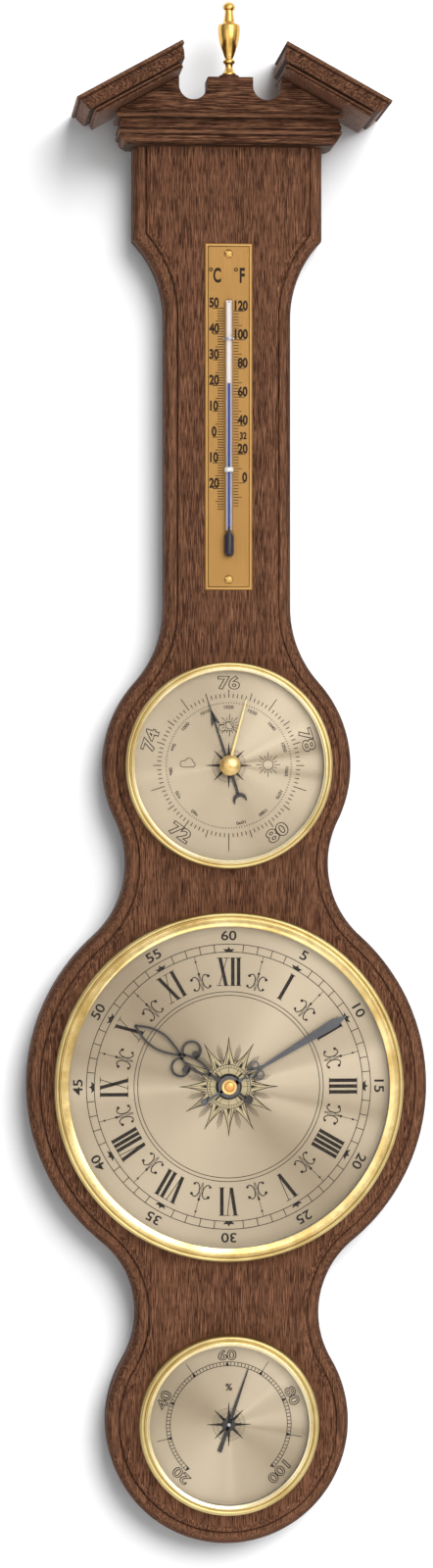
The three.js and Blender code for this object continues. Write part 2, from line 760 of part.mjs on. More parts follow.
// A flat spring bent round the capsule, from the frame's foot to the capsule's upper post
function leafSpring() {
  const low = frameBase;
  const high = leafHeight + leafThickness;
  const [back, front, end] = [-frameHalfHeight + 1, -4, leafReach];
  const bend = 2.5;
  const shape = new THREE.Shape();
  shape.moveTo(back, low);
  shape.lineTo(end - bend, low);
  shape.absarc(end - bend, low + bend, bend, -Math.PI / 2, 0, false);
  shape.absarc(end - bend, high - bend, bend, 0, Math.PI / 2, false);
  shape.lineTo(front, high);
  shape.lineTo(front, leafHeight);
  shape.absarc(end - bend, high - bend, bend - leafThickness, Math.PI / 2, 0, true);
  shape.absarc(end - bend, low + bend, bend - leafThickness, 0, -Math.PI / 2, true);
  shape.lineTo(back, low + leafThickness);
  shape.closePath();
  const strip = plate(shape, -leafHalfWidth, leafHalfWidth, 4);
  // The shape lies in depth against height: its first axis becomes y and its second z
  strip.applyMatrix4(new THREE.Matrix4().set(0, 0, 1, 0, 1, 0, 0, 0, 0, 1, 0, 0, 0, 0, 0, 1));
  return cut(strip, turnOut(rod(capsulePostRadius + seatGap, low - 1, high + 1), pinRound));
}

// A shaft across the frame with a short arm over the capsule and a long arm beside it
function barometerRocker() {
  const half = frameHalfWidth - 0.5;
  const shaft = turnAcross(rod(rockerRadius, -half, half), pinRound);
  const shortArm = block(-1.2, 1.2, -rockerY - 1, 0, -rockerRadius * 0.4, rockerRadius * 0.4);
  const longArm = block(rockerArmX - 0.6, rockerArmX + 0.6, -rockerArmLength, 0, -0.5, 0.5);
  return join(shaft, shortArm, longArm).translate(0, rockerY, rockerZ);
}

function barometerArbor() {
  const foot = frameTop - framePlate - arborTail;
  const drumLow = frameTop + runningGap;
  const drumHigh = dialBack - 1;
  return turnOut([
    [0, foot], [barometerArborRadius, foot],
    [barometerArborRadius, drumLow], [barometerDrumRadius, drumLow], [barometerDrumRadius, drumHigh],
    [barometerArborRadius, drumHigh], [barometerArborRadius, pointerHigh + 0.3], [0, pointerHigh + 0.3],
  ], pinRound);
}

function disc(radius, x, y, low, high, segments = smallRound) {
  return turnOut(rod(radius, low, high), segments).translate(x, y, 0);
}

function polygon(corners, low, high) {
  return plate(new THREE.Shape(corners.map(([x, y]) => point(x, y))), low, high);
}

// A blade of two widths that is the same on both sides of its length
function taper(y0, width0, y1, width1, low, high) {
  const [a, b] = [width0 / 2, width1 / 2];
  return polygon([[-a, y0], [a, y0], [b, y1], [-b, y1]], low, high);
}

// Drawn pointing up: a needle with an arrowhead, and a crescent on its tail
function barometerPointer() {
  const [low, high] = [pointerLow, pointerHigh];
  const barb = barometerPointerLength * 0.68;
  const tail = -barometerPointerLength * 0.53;
  const crescent = cut(disc(3.4, 0, tail, low, high, smallRound),
    disc(2.7, 0, tail - 1.6, low - 1, high + 1, smallRound));
  const needle = join(
    taper(0, 1.8, barometerPointerLength, 0.5, low, high),
    polygon([[-2.2, barb - 1.6], [0, barb], [2.2, barb - 1.6], [0, barb + 6]], low, high),
    taper(tail + 2.6, 1.3, 0, 1.8, low, high), disc(2.8, 0, 0, low, high), crescent);
  return cut(needle, disc(barometerArborRadius + seatGap, 0, 0, low - 1, high + 1, pinRound));
}

function setHand() {
  const [low, high] = [setHandLow, setHandHigh];
  const blade = join(taper(0, 1.6, setHandLength, 0.5, low, high),
    taper(-setHandLength * 0.3, 1.0, 0, 1.6, low, high), disc(3, 0, 0, low, high));
  return cut(blade, disc(setStemRadius + seatGap, 0, 0, low - 1, high + 1, pinRound));
}

// A domed button outside the glass, on a stem that goes through it to the set hand
function setKnob() {
  const foot = pans.barometer.glassTop + runningGap;
  const r = setKnobRadius;
  return turnOut([
    [0, setHandLow - 0.2], [setStemRadius, setHandLow - 0.2], [setStemRadius, foot], [r * 0.72, foot],
    [r * 0.6, foot + 1.2], [r, foot + 1.9], [r, foot + 3.4], [r * 0.8, foot + setKnobHeight * 0.86],
    [0, foot + setKnobHeight],
  ], smallRound);
}

// A slotted stud through the pan's floor, up to what it bears on
function adjustingScrew(pan, tip) {
  const headTop = pan.rear - seatGap;
  const headLow = headTop - 1.1;
  const body = turnOut([
    [0, headLow], [adjustingHeadRadius, headLow], [adjustingHeadRadius, headTop],
    [adjustingScrewRadius, headTop], [adjustingScrewRadius, tip], [0, tip],
  ], pinRound);
  return cut(body, block(-adjustingHeadRadius, adjustingHeadRadius, -screwSlotWidth / 2, screwSlotWidth / 2,
    headLow - 1, headLow + screwSlotDepth));
}

// Clock movement

const hourTubeRadius = minuteArborRadius + runningGap + hourTubeWall;
const bushRadius = hourTubeRadius + runningGap + bushWall;
const dialNutRadius = bushRadius + dialNutWall;
const movementHalf = batteryLength / 2 + seatGap + contactReach + contactThickness + movementWall;
const partitionY = 2 * batteryRadius + batteryPlay + movementWall - movementHalf;
const centreDistance = (gearModule * (cannonTeeth + minuteWheelTeeth)) / 2;
const movementFrontWall = dialBack - movementWall;
const movementRear = movementFrontWall - seatGap - 2 * batteryRadius;
const hourGearHigh = movementFrontWall - 0.5;
const hourGearLow = hourGearHigh - gearThickness;
const minuteGearHigh = hourGearLow - gearGap;
const minuteGearLow = minuteGearHigh - gearThickness;
const bushTop = dialFront + bushHeight;
const hourHandLow = bushTop + runningGap;
const hourHandHigh = hourHandLow + handThickness;
const minuteHandLow = hourHandHigh + handGap;
const minuteHandHigh = minuteHandLow + handThickness;
const settingX = centreDistance * Math.cos(radians(settingAngle));
const settingY = centreDistance * Math.sin(radians(settingAngle));

// Straight-sided teeth with a tooth centred on the bearing given in degrees
function gear(teeth, facing, low, high) {
  const pitch = (gearModule * teeth) / 2;
  const step = (2 * Math.PI) / teeth;
  const flanks = [[-0.27, -1.2], [-0.12, 0.9], [0.12, 0.9], [0.27, -1.2]];
  const corners = [];
  for (let i = 0; i < teeth; i += 1) {
    for (const [share, height] of flanks) {
      const angle = radians(facing) + (i + share) * step;
      const radius = pitch + height * gearModule;
      corners.push(point(radius * Math.cos(angle), radius * Math.sin(angle)));
    }
  }
  return plate(new THREE.Shape(corners), low, high);
}

// Box that is open at the back, with a bay for the cell and the threaded bush on its front
function movementCase() {
  const inner = movementHalf - movementWall;
  const outer = block(-movementHalf, movementHalf, -movementHalf, movementHalf, movementRear, dialBack);
  const bush = turnOut(rod(bushRadius, movementFrontWall, bushTop), smallRound);
  return cut(join(outer, bush),
    block(-inner, inner, partitionY + movementWall, inner, movementRear - 1, movementFrontWall),
    block(-inner, inner, -inner, partitionY, movementRear - 1, movementFrontWall),
    turnOut(rod(hourTubeRadius + runningGap, movementFrontWall - 1, bushTop + 1), pinRound));
}

function movementCover() {
  const body = block(-movementHalf, movementHalf, partitionY + seatGap, movementHalf,
    movementRear - movementCoverThickness, movementRear);
  const hole = (x, y, radius) => disc(radius, x, y, movementRear - movementCoverThickness - 1,
    movementRear + 1, pinRound);
  return cut(body, hole(0, 0, minuteArborRadius + runningGap),
    hole(settingX, settingY, settingShaftRadius + runningGap));
}

function dialNut() {
  const corners = Array.from({ length: 6 }, (_, i) => {
    const angle = (i * Math.PI) / 3;
    return [dialNutRadius * Math.cos(angle), dialNutRadius * Math.sin(angle)];
  });
  return cut(polygon(corners, dialFront, dialFront + dialNutHeight),
    disc(bushRadius + solderGap, 0, 0, dialFront - 1, bushTop + 1, smallRound));
}

function hourWheel() {
  const facing = settingAngle;
  const tube = turnOut(rod(hourTubeRadius, hourGearLow, hourHandHigh + 0.2), smallRound);
  return cut(join(gear(hourWheelTeeth, facing, hourGearLow, hourGearHigh), tube),
    disc(hourTubeRadius - hourTubeWall, 0, 0, hourGearLow - 1, hourHandHigh + 1, smallRound));
}

function minuteArbor() {
  const foot = movementRear - movementCoverThickness + 0.2;
  const top = minuteHandHigh + minuteNutHeight * 0.6;
  return join(gear(cannonTeeth, settingAngle, minuteGearLow, minuteGearHigh),
    turnOut(rod(minuteArborRadius, foot, top), pinRound));
}

// The minute wheel and its pinion on the shaft that the setting knob turns
function settingShaft() {
  const facing = settingAngle + 180;
  const foot = movementRear - movementCoverThickness - seatGap - settingKnobThickness;
  return join(gear(minuteWheelTeeth, facing + 180 / minuteWheelTeeth, minuteGearLow, minuteGearHigh),
    gear(minutePinionTeeth, facing + 180 / minutePinionTeeth, hourGearLow, hourGearHigh),
    turnOut(rod(settingShaftRadius, foot + 0.4, movementFrontWall - seatGap), pinRound));
}

// A finger knob with scalloped sides, hollow where the shaft goes in
function settingKnob() {
  const high = movementRear - movementCoverThickness - seatGap;
  const low = high - settingKnobThickness;
  const rim = Array.from({ length: 2 * settingKnobScallops }, (_, i) => {
    const angle = (i * Math.PI) / settingKnobScallops;
    const radius = settingKnobRadius - settingKnobScallopDepth * (i % 2);
    return [radius * Math.cos(angle), radius * Math.sin(angle)];
  });
  return cut(polygon(rim, low, high), disc(settingShaftRadius + seatGap, 0, 0, low - 1, high + 1, pinRound));
}

const batteryY = (partitionY - movementHalf + movementWall) / 2;
const batteryDepth = movementFrontWall - seatGap - batteryRadius;

function battery() {
  const half = batteryLength / 2;
  const r = batteryRadius;
  return turnAcross([
    [0, -half], [r - 0.8, -half], [r, -half + 0.8], [r, half - 0.8], [r - 0.8, half], [batteryNubRadius, half],
    [batteryNubRadius, half + batteryNubLength], [0, half + batteryNubLength],
  ], smallRound).translate(0, batteryY, batteryDepth);
}

// A sprung plate against an end wall of the bay, pressed out towards the cell
function batteryContact(side, reach) {
  const wall = side * (movementHalf - movementWall);
  const face = wall - side * contactThickness;
  const low = Math.min(wall, face);
  const high = Math.max(wall, face);
  const plateBody = block(low, high, batteryY - 5, batteryY + 5, batteryDepth - 5, batteryDepth + 5);
  const cone = turnAcross([[0, 0], [3.4, 0], [1.6, reach], [0, reach]], pinRound);
  if (side > 0) cone.rotateZ(Math.PI);
  return join(plateBody, cone.translate(face, batteryY, batteryDepth));
}

function driveCoil() {
  const half = coilLength / 2;
  const depth = movementFrontWall - seatGap - coilRadius;
  return turnUp([
    [0, -half], [coilRadius, -half], [coilRadius, -half + 1], [coilRadius - 1, -half + 1],
    [coilRadius - 1, half - 1], [coilRadius, half - 1], [coilRadius, half], [0, half],
  ], smallRound).translate(-(movementHalf - movementWall - coilRadius - 3), half + partitionY + 3, depth);
}

function circuitBoard() {
  const left = -(movementHalf - movementWall - 1);
  const top = movementHalf - movementWall - 1;
  const low = movementFrontWall - circuitThickness;
  return join(block(left, left + circuitWidth, top - circuitHeight, top, low, movementFrontWall),
    block(left + chipInset, left + chipInset + chipWidth, top - chipInset - chipHeight, top - chipInset,
      low - chipThickness, low));
}

// Clock hands

// A ribbon of even width along a smooth curve through the points
function stroke(points, width, low, high, steps = 12) {
  const curve = new THREE.SplineCurve(points.map(([x, y]) => point(x, y)));
  const [left, right] = [[], []];
  for (let i = 0; i <= steps; i += 1) {
    const at = curve.getPointAt(i / steps);
    const way = curve.getTangentAt(i / steps);
    left.push(point(at.x - (way.y * width) / 2, at.y + (way.x * width) / 2));
    right.unshift(point(at.x + (way.y * width) / 2, at.y - (way.x * width) / 2));
  }
  return plate(new THREE.Shape([...left, ...right]), low, high);
}

// A scroll that leaves the stem, turns outwards round its centre and ends in a ball
function scroll(side, x, y, radius, width, ball, low, high) {
  const turn = Array.from({ length: 9 }, (_, i) => {
    const angle = radians(150 - i * 32.5);
    return [side * (x + radius * Math.cos(angle)), y + radius * Math.sin(angle)];
  });
  return [stroke(turn, width, low, high, 12),
    disc(ball, side * (x - radius * 0.1), y - radius * 0.55, low, high, 8)];
}

function hourHand() {
  const [low, high] = [hourHandLow, hourHandHigh];
  const at = (share) => hourHandLength * share;
  const tail = -handHubRadius - at(0.11);
  const pieces = [taper(tail + 2, 1.2, 0, 2, low, high), disc(2.3, 0, tail, low, high, pinRound),
    taper(0, 2.4, at(0.22), 1.4, low, high)];
  for (const side of [-1, 1]) {
    const loop = [[0, at(0.2)], [side * 2.2, at(0.27)], [side * 2.7, at(0.36)], [side * 1.7, at(0.45)], [0, at(0.53)]];
    const leaf = [[0, at(0.5)], [side * 2.4, at(0.59)], [side * 4.1, at(0.725)], [side * 3.3, at(0.87)], [0, at(0.99)]];
    pieces.push(stroke(loop, 0.9, low, high, 6), stroke(leaf, 0.9, low, high, 8),
      ...scroll(side, 4.9, at(0.453), 4.4, 1.1, 1.6, low, high));
  }
  const hand = join(disc(handHubRadius, 0, 0, low, high, smallRound), ...pieces);
  return cut(hand, disc(hourTubeRadius + seatGap, 0, 0, low - 1, high + 1, smallRound));
}

function minuteHand() {
  const [low, high] = [minuteHandLow, minuteHandHigh];
  const at = (share) => minuteHandLength * share;
  const tail = -handHubRadius - at(0.13);
  const blade = polygon([[-0.6, at(0.235)], [0.6, at(0.235)], [2.35, at(0.9)], [0, minuteHandLength],
    [-2.35, at(0.9)]], low, high);
  const pieces = [blade, taper(tail + 1.2, 1.0, 0, 1.8, low, high), disc(1.8, 0, tail, low, high, pinRound),
    taper(0, 2.4, at(0.133), 0.9, low, high)];
  for (const side of [-1, 1]) {
    pieces.push(stroke([[0, at(0.124)], [side * 1.7, at(0.177)], [0, at(0.25)]], 0.7, low, high, 6),
      ...scroll(side, 2.3, at(0.234), 2.0, 0.7, 0.8, low, high));
  }
  const hand = join(disc(handHubRadius, 0, 0, low, high, smallRound), ...pieces);
  return cut(hand, disc(minuteArborRadius + seatGap, 0, 0, low - 1, high + 1, pinRound));
}

// Domed brass nut on the end of the minute arbor
function minuteNut() {
  const r = minuteNutRadius;
  const foot = minuteHandHigh;
  const bore = minuteArborRadius + seatGap;
  return turnOut([
    [0, foot + minuteNutHeight], [r * 0.5, foot + minuteNutHeight * 0.95], [r, foot + minuteNutHeight * 0.4],
    [r, foot], [bore, foot], [bore, foot + minuteNutHeight * 0.8], [0, foot + minuteNutHeight * 0.8],
  ], smallRound);
}

// Hygrometer movement

const hygrometerFloor = hygrometerRear + panWall;
const hygrometerBase = hygrometerFloor + framePlate;
const stripLow = hygrometerBase + 1.2;
const stripHigh = stripLow + stripWidth;
const hygrometerBridge = stripHigh + 1;

function hygrometerFrame() {
  const half = hygrometerFrameHalf;
  const top = hygrometerBridge + framePlate;
  const body = block(-half, half, -4, 4, hygrometerFloor, top);
  const window = block(-half + 1.6, half - 1.6, -5, 5, hygrometerBase, hygrometerBridge);
  return cut(body, window, disc(hygrometerArborRadius + runningGap, 0, 0, hygrometerBridge - 1, top + 1, pinRound),
    disc(adjustingScrewRadius + runningGap, 0, 0, hygrometerFloor - 1, hygrometerBase + 1, pinRound));
}

// A flat strip wound in a spiral from the collar on the arbor to the frame's leg
function humidityStrip() {
  const turns = stripTurns * 12;
  const spiral = (shift) => Array.from({ length: turns + 1 }, (_, i) => {
    const radius = stripInner + ((stripOuter - stripInner) * i) / turns + shift;
    const angle = (i * Math.PI) / 6;
    return point(radius * Math.cos(angle), radius * Math.sin(angle));
  });
  const outline = [...spiral(stripThickness / 2), ...spiral(-stripThickness / 2).reverse()];
  const hook = block(stripOuter - stripThickness / 2, hygrometerFrameHalf - 1.6 - seatGap, -0.5, 0.5,
    stripLow, stripHigh);
  return join(plate(new THREE.Shape(outline), stripLow, stripHigh), hook);
}

function hygrometerArbor() {
  const r = hygrometerArborRadius;
  return turnOut([
    [0, hygrometerBase + 0.8], [r, hygrometerBase + 0.8], [r, stripLow], [collarRadius, stripLow],
    [collarRadius, stripHigh - 1], [r, stripHigh - 1], [r, pointerHigh + 0.3], [0, pointerHigh + 0.3],
  ], pinRound);
}

// Drawn pointing up: a slim needle with a straight tail
function hygrometerPointer() {
  const [low, high] = [pointerLow, pointerHigh];
  const needle = join(taper(0, 1.7, hygrometerPointerLength, 0.6, low, high),
    taper(-hygrometerPointerLength * 0.48, 2.2, 0, 1.5, low, high), disc(3.2, 0, 0, low, high));
  return cut(needle, disc(hygrometerArborRadius + seatGap, 0, 0, low - 1, high + 1, pinRound));
}

// Materials and assembly

const finishes = {
  wood: [0x5a3d2c, 0.6, 0],
  brass: [0xd8b45a, 0.25, 1],
  steel: [0x9a9a98, 0.4, 1],
  dial: [0xcfc4a8, 0.4, 0.8],
  glass: [0xf4f6f6, 0.05, 0],
  blackHand: [0x24211f, 0.4, 0.2],
  plastic: [0x2b2b2b, 0.6, 0],
  liquid: [0x2a5f9e, 0.3, 0],
  strip: [0x8f6a3a, 0.7, 0],
};

function piece(name, finish, geometry) {
  const [color, roughness, metalness] = finishes[finish];
  const clear = finish === 'glass';
  const material = new THREE.MeshStandardMaterial({
    color, roughness, metalness, transparent: clear, opacity: clear ? 0.3 : 1,
  });
  const mesh = new THREE.Mesh(weld(geometry), material);
  mesh.name = name;
  return mesh;
}

function groupAt(x, y, ...members) {
  const group = new THREE.Group();
  group.position.set(x, y, 0);
  group.add(...members);
  return group;
}

// Turned clockwise by an angle in degrees, as a hand is read
function turned(angle, ...members) {
  const group = new THREE.Group();
  group.rotation.z = -radians(angle);
  group.add(...members);
  return group;
}

function screwAt(name, finish, x, y, z) {
  const screw = piece(name, finish, woodScrew());
  screw.position.set(x, y, z);
  return screw;
}

function rakeAt(name, side) {
  const rake = piece(name, 'wood', rakingCornice());
  const half = rakeLength / 2;
  const slope = radians(rakeAngle);
  rake.position.set(side * (rakeUpperX + half * Math.cos(slope)), rakeUpperY - half * Math.sin(slope), 0);
  rake.rotation.z = -side * slope;
  return rake;
}

function clipAt(name, y) {
  const clip = piece(name, 'steel', tubeClip());
  clip.position.y = y;
  return clip;
}

// A hanger screw's head points at the wall
function hangerScrewAt(name, y) {
  const screw = piece(name, 'steel', countersunkScrew(hangerThickness));
  screw.position.set(0, y, seatGap);
  screw.rotation.y = Math.PI;
  return screw;
}

function standing(name, finish, geometry, depth) {
  const mesh = piece(name, finish, geometry);
  mesh.position.z = depth;
  return mesh;
}

const woodwork = groupAt(0, 0,
  piece('back_board', 'wood', backBoard()),
  piece('cornice_block', 'wood', corniceBlock()),
  piece('tympanum', 'wood', tympanum()),
  rakeAt('raking_cornice_left', -1),
  rakeAt('raking_cornice_right', 1),
  standing('finial_button', 'wood', finialButton(), finialDepth),
  standing('finial', 'brass', finial(), finialDepth));

const hanger = groupAt(0, 0,
  piece('hanger_plate', 'steel', hangerPlate()),
  hangerScrewAt('hanger_screw_upper', hangerScrewY),
  hangerScrewAt('hanger_screw_lower', hangerLowScrewY));

const thermometer = groupAt(0, 0,
  piece('thermometer_plate', 'brass', thermometerPlate()),
  standing('thermometer_tube', 'glass', thermometerTube(), tubeDepth),
  standing('thermometer_liquid', 'liquid', thermometerLiquid(), tubeDepth),
  clipAt('tube_clip_upper', upperClipY),
  clipAt('tube_clip_lower', lowerClipY),
  screwAt('plate_screw_upper', 'brass', 0, upperPlateScrewY, plateFront),
  screwAt('plate_screw_lower', 'brass', 0, lowerPlateScrewY, plateFront));

const adjustingHole = disc(adjustingScrewRadius + runningGap, 0, adjustingScrewY, barometerRear - 1,
  barometerFloor + 1, pinRound);
const barometerScrew = piece('barometer_adjusting_screw', 'steel',
  adjustingScrew(pans.barometer, frameBase - seatGap));
barometerScrew.position.y = adjustingScrewY;

const barometer = groupAt(0, barometerY,
  piece('barometer_case', 'steel', closedPan(pans.barometer, adjustingHole)),
  piece('barometer_dial', 'dial', dialPlate(pans.barometer, barometerArborRadius + runningGap)),
  piece('barometer_glass', 'glass', glassPane(pans.barometer, setStemRadius + runningGap)),
  piece('barometer_bezel', 'brass', bezel(pans.barometer)),
  piece('barometer_frame', 'brass', barometerFrame()),
  piece('aneroid_capsule', 'steel', aneroidCapsule()),
  piece('leaf_spring', 'steel', leafSpring()),
  piece('barometer_rocker', 'brass', barometerRocker()),
  barometerScrew,
  turned(barometerPointerAngle,
    piece('barometer_arbor', 'steel', barometerArbor()),
    piece('barometer_pointer', 'blackHand', barometerPointer())),
  turned(setHandAngle,
    piece('set_hand', 'brass', setHand()),
    piece('set_knob', 'brass', setKnob())));

const setting = groupAt(settingX, settingY,
  piece('setting_shaft', 'plastic', settingShaft()),
  piece('setting_knob', 'plastic', settingKnob()));

const clock = groupAt(0, clockY,
  piece('clock_case', 'brass', openPan(pans.clock)),
  piece('clock_dial', 'dial', dialPlate(pans.clock, bushRadius + seatGap)),
  piece('clock_glass', 'glass', glassPane(pans.clock, 0)),
  piece('clock_bezel', 'brass', bezel(pans.clock)),
  piece('movement_case', 'plastic', movementCase()),
  piece('movement_cover', 'plastic', movementCover()),
  piece('dial_nut', 'brass', dialNut()),
  piece('hour_wheel', 'plastic', hourWheel()),
  piece('minute_arbor', 'plastic', minuteArbor()),
  piece('drive_coil', 'steel', driveCoil()),
  piece('circuit_board', 'plastic', circuitBoard()),
  piece('battery', 'steel', battery()),
  piece('battery_contact_negative', 'steel', batteryContact(-1, contactReach)),
  piece('battery_contact_positive', 'steel', batteryContact(1, contactReach - batteryNubLength)),
  piece('minute_nut', 'brass', minuteNut()),
  turned(hourHandAngle, piece('hour_hand', 'blackHand', hourHand())),
  turned(minuteHandAngle, piece('minute_hand', 'blackHand', minuteHand())),
  setting);

const vents = Array.from({ length: ventCount }, (_, i) => {
  const angle = (i * 2 * Math.PI) / ventCount;
  return disc(ventRadius, ventCircle * Math.cos(angle), ventCircle * Math.sin(angle), hygrometerRear - 1,
    hygrometerFloor + 1, pinRound);
});
const hygrometerHole = disc(adjustingScrewRadius + runningGap, 0, 0, hygrometerRear - 1, hygrometerFloor + 1,
  pinRound);

const hygrometer = groupAt(0, hygrometerY,
  piece('hygrometer_case', 'steel', closedPan(pans.hygrometer, hygrometerHole, ...vents)),
  piece('hygrometer_dial', 'dial', dialPlate(pans.hygrometer, hygrometerArborRadius + runningGap)),
  piece('hygrometer_glass', 'glass', glassPane(pans.hygrometer, 0)),
  piece('hygrometer_bezel', 'brass', bezel(pans.hygrometer)),
  piece('hygrometer_frame', 'brass', hygrometerFrame()),
  piece('humidity_strip', 'strip', humidityStrip()),
  piece('hygrometer_adjuster', 'steel', adjustingScrew(pans.hygrometer, hygrometerBase + 0.4)),
  turned(hygrometerPointerAngle,
    piece('hygrometer_arbor', 'steel', hygrometerArbor()),
    piece('hygrometer_pointer', 'blackHand', hygrometerPointer())));

const weatherStation = new THREE.Group();
weatherStation.rotation.x = Math.PI / 2;
weatherStation.add(woodwork, hanger, thermometer, barometer, clock, hygrometer);

export default weatherStation;
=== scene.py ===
# Looks of a wall-hung weather station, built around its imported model.
#
# Pieces are drawn in millimetres in a front view, x right, y up and z out from the wall, and are
# stood up into the frame's metres when they are placed. Angles are in degrees. A clock angle starts
# upright and grows clockwise.

import math

import bpy
from mathutils import Matrix, Vector


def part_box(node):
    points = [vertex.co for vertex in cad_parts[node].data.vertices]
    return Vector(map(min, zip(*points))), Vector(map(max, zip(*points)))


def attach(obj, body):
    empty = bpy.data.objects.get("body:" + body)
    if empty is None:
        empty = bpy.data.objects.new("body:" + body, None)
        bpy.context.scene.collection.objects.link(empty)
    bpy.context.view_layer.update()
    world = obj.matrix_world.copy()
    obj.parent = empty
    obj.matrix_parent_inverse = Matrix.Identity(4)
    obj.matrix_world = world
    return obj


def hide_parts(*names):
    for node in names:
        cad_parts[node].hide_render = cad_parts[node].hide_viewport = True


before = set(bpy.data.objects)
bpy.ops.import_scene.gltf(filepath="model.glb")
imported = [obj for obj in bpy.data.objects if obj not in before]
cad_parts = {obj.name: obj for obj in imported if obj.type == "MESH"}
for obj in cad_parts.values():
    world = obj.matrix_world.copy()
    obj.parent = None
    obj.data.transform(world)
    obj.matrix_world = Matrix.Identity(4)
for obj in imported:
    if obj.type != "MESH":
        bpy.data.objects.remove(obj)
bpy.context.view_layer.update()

MM = 0.001
PRINT = 0.05  # thickness of printed ink
ROUND, FINE = 144, 64  # sides of large and of small turned pieces
SMOOTH = 35  # faces that meet at less than this are shaded as one

# Shader maths


class Wire:
    """A shader value. Arithmetic on it adds Math nodes to its tree."""

    def __init__(self, shading, socket):
        self.shading, self.socket = shading, socket

    def math(self, operation, *others):
        return self.shading.maths(operation, self, *others)

    def __add__(self, other):
        return self.math("ADD", other)

    def __sub__(self, other):
        return self.math("SUBTRACT", other)

    def __rsub__(self, other):
        return self.shading.maths("SUBTRACT", other, self)

    def __mul__(self, other):
        return self.math("MULTIPLY", other)

    def __pow__(self, other):
        return self.math("POWER", other)


def paint(red, green, blue):
    """A colour as it is seen, 0 to 255, in the linear values that shaders take."""
    def linear(value):
        value /= 255
        return value / 12.92 if value <= 0.04045 else ((value + 0.055) / 1.055) ** 2.4
    return (linear(red), linear(green), linear(blue), 1)


class Shading:
    """Adds nodes to one shader tree."""

    def __init__(self, tree):
        self.tree = tree

    def feed(self, socket, value):
        if isinstance(value, Wire):
            self.tree.links.new(value.socket, socket)
        else:
            socket.default_value = value

    def node(self, kind, sockets=None, output=0, **settings):
        node = self.tree.nodes.new(kind)
        for name, value in settings.items():
            setattr(node, name, value)
        for name, value in (sockets or {}).items():
            self.feed(node.inputs[name], value)
        return Wire(self, node.outputs[output])

    def maths(self, operation, *values):
        return self.node("ShaderNodeMath", dict(enumerate(values)), operation=operation)

    def dot(self, first, second):
        return self.node("ShaderNodeVectorMath", {0: first, 1: second}, "Value", operation="DOT_PRODUCT")

    def axis(self, vector, name):
        return self.node("ShaderNodeSeparateXYZ", {0: vector}, name)

    def mix(self, share, *tones):
        """Tones are two wires or colours, and a colour is red, green and blue as they are seen."""
        first, second = (tone if isinstance(tone, Wire) else paint(*tone) for tone in tones)
        return self.node("ShaderNodeMix", {0: share, 6: first, 7: second}, 2, data_type="RGBA")

    def ease(self, value, low, high):
        """From 0 at low to 1 at high, with soft ends."""
        return self.node("ShaderNodeMapRange", {"Value": value, "From Min": low, "From Max": high},
                         interpolation_type="SMOOTHSTEP")


class Finish(Shading):
    """A material built round one Principled shader."""

    def __init__(self, name, **sockets):
        self.material = bpy.data.materials.new(name)
        self.material.use_nodes = True
        super().__init__(self.material.node_tree)
        self.shader = self.tree.nodes["Principled BSDF"]
        self.place = self.node("ShaderNodeTexCoord", output="Object")
        self.set(**sockets)

    def set(self, **sockets):
        for name, value in sockets.items():
            self.feed(self.shader.inputs[name.replace("_", " ")], value)

    def mapped(self, scale=(1, 1, 1), shift=(0, 0, 0), turn=0):
        """The place on the piece, turned round the y axis, then stretched and shifted."""
        place = self.place
        if turn:
            place = self.node("ShaderNodeVectorRotate", {"Vector": place, "Angle": math.radians(turn)},
                              rotation_type="Y_AXIS")
        return self.node("ShaderNodeMapping", {"Vector": place, "Scale": scale, "Location": shift})

    def noise(self, vector, scale=1, detail=2, rough=0.5):
        return self.node("ShaderNodeTexNoise",
                         {"Vector": vector, "Scale": scale, "Detail": detail, "Roughness": rough})

    def clouds(self, scale, low, high, detail=3):
        """Soft patches, from 0 to 1."""
        return self.ease(self.noise(self.place, scale, detail), low, high)

    def bump(self, height, strength, distance):
        sockets = {"Height": height, "Strength": strength, "Distance": distance}
        self.set(Normal=self.node("ShaderNodeBump", sockets))


# Modelling tools

STAND = Matrix.Rotation(math.pi / 2, 4, "X")
POLE = 0.001  # radius that stands for 0 where a turned piece closes
MERGE, FINE_MERGE = 0.004, 0.0005  # corners nearer than this are merged
TEXT_SIZE = 1.4  # size of text over its capital height


def named(piece, name):
    piece.name = piece.data.name = name
    return piece


def choose(*pieces):
    """Selects these pieces alone, with the first as the active one."""
    bpy.ops.object.select_all(action="DESELECT")
    for piece in pieces[::-1]:
        piece.select_set(True)
        bpy.context.view_layer.objects.active = piece


def added(name, add, **settings):
    """A new piece, from an operator that adds an object."""
    choose()
    add(**settings)
    return named(bpy.context.active_object, name)


def editing(everything=True):
    bpy.ops.object.mode_set(mode="EDIT")
    if everything:
        bpy.ops.mesh.select_all(action="SELECT")


def done(merge=MERGE):
    """Merges doubles, turns the faces outwards and leaves edit mode."""
    bpy.ops.mesh.select_all(action="SELECT")
    bpy.ops.mesh.remove_doubles(threshold=merge * MM)
    bpy.ops.mesh.normals_make_consistent(inside=False)
    bpy.ops.object.mode_set(mode="OBJECT")


def modify(piece, kind, **settings):
    choose(piece)
    modifier = piece.modifiers.new(kind.lower(), kind)
    for name, value in settings.items():
        setattr(modifier, name, value)
    bpy.ops.object.modifier_apply(modifier=modifier.name)
    return piece


def softened(piece, width):
    return modify(piece, "BEVEL", width=width * MM, segments=2, limit_method="ANGLE",
                  angle_limit=math.radians(30), use_clamp_overlap=True)


def carved(piece, *tools):
    for tool in tools:
        modify(piece, "BOOLEAN", operation="DIFFERENCE", object=tool, solver="EXACT")
        bpy.data.objects.remove(tool)
    return piece


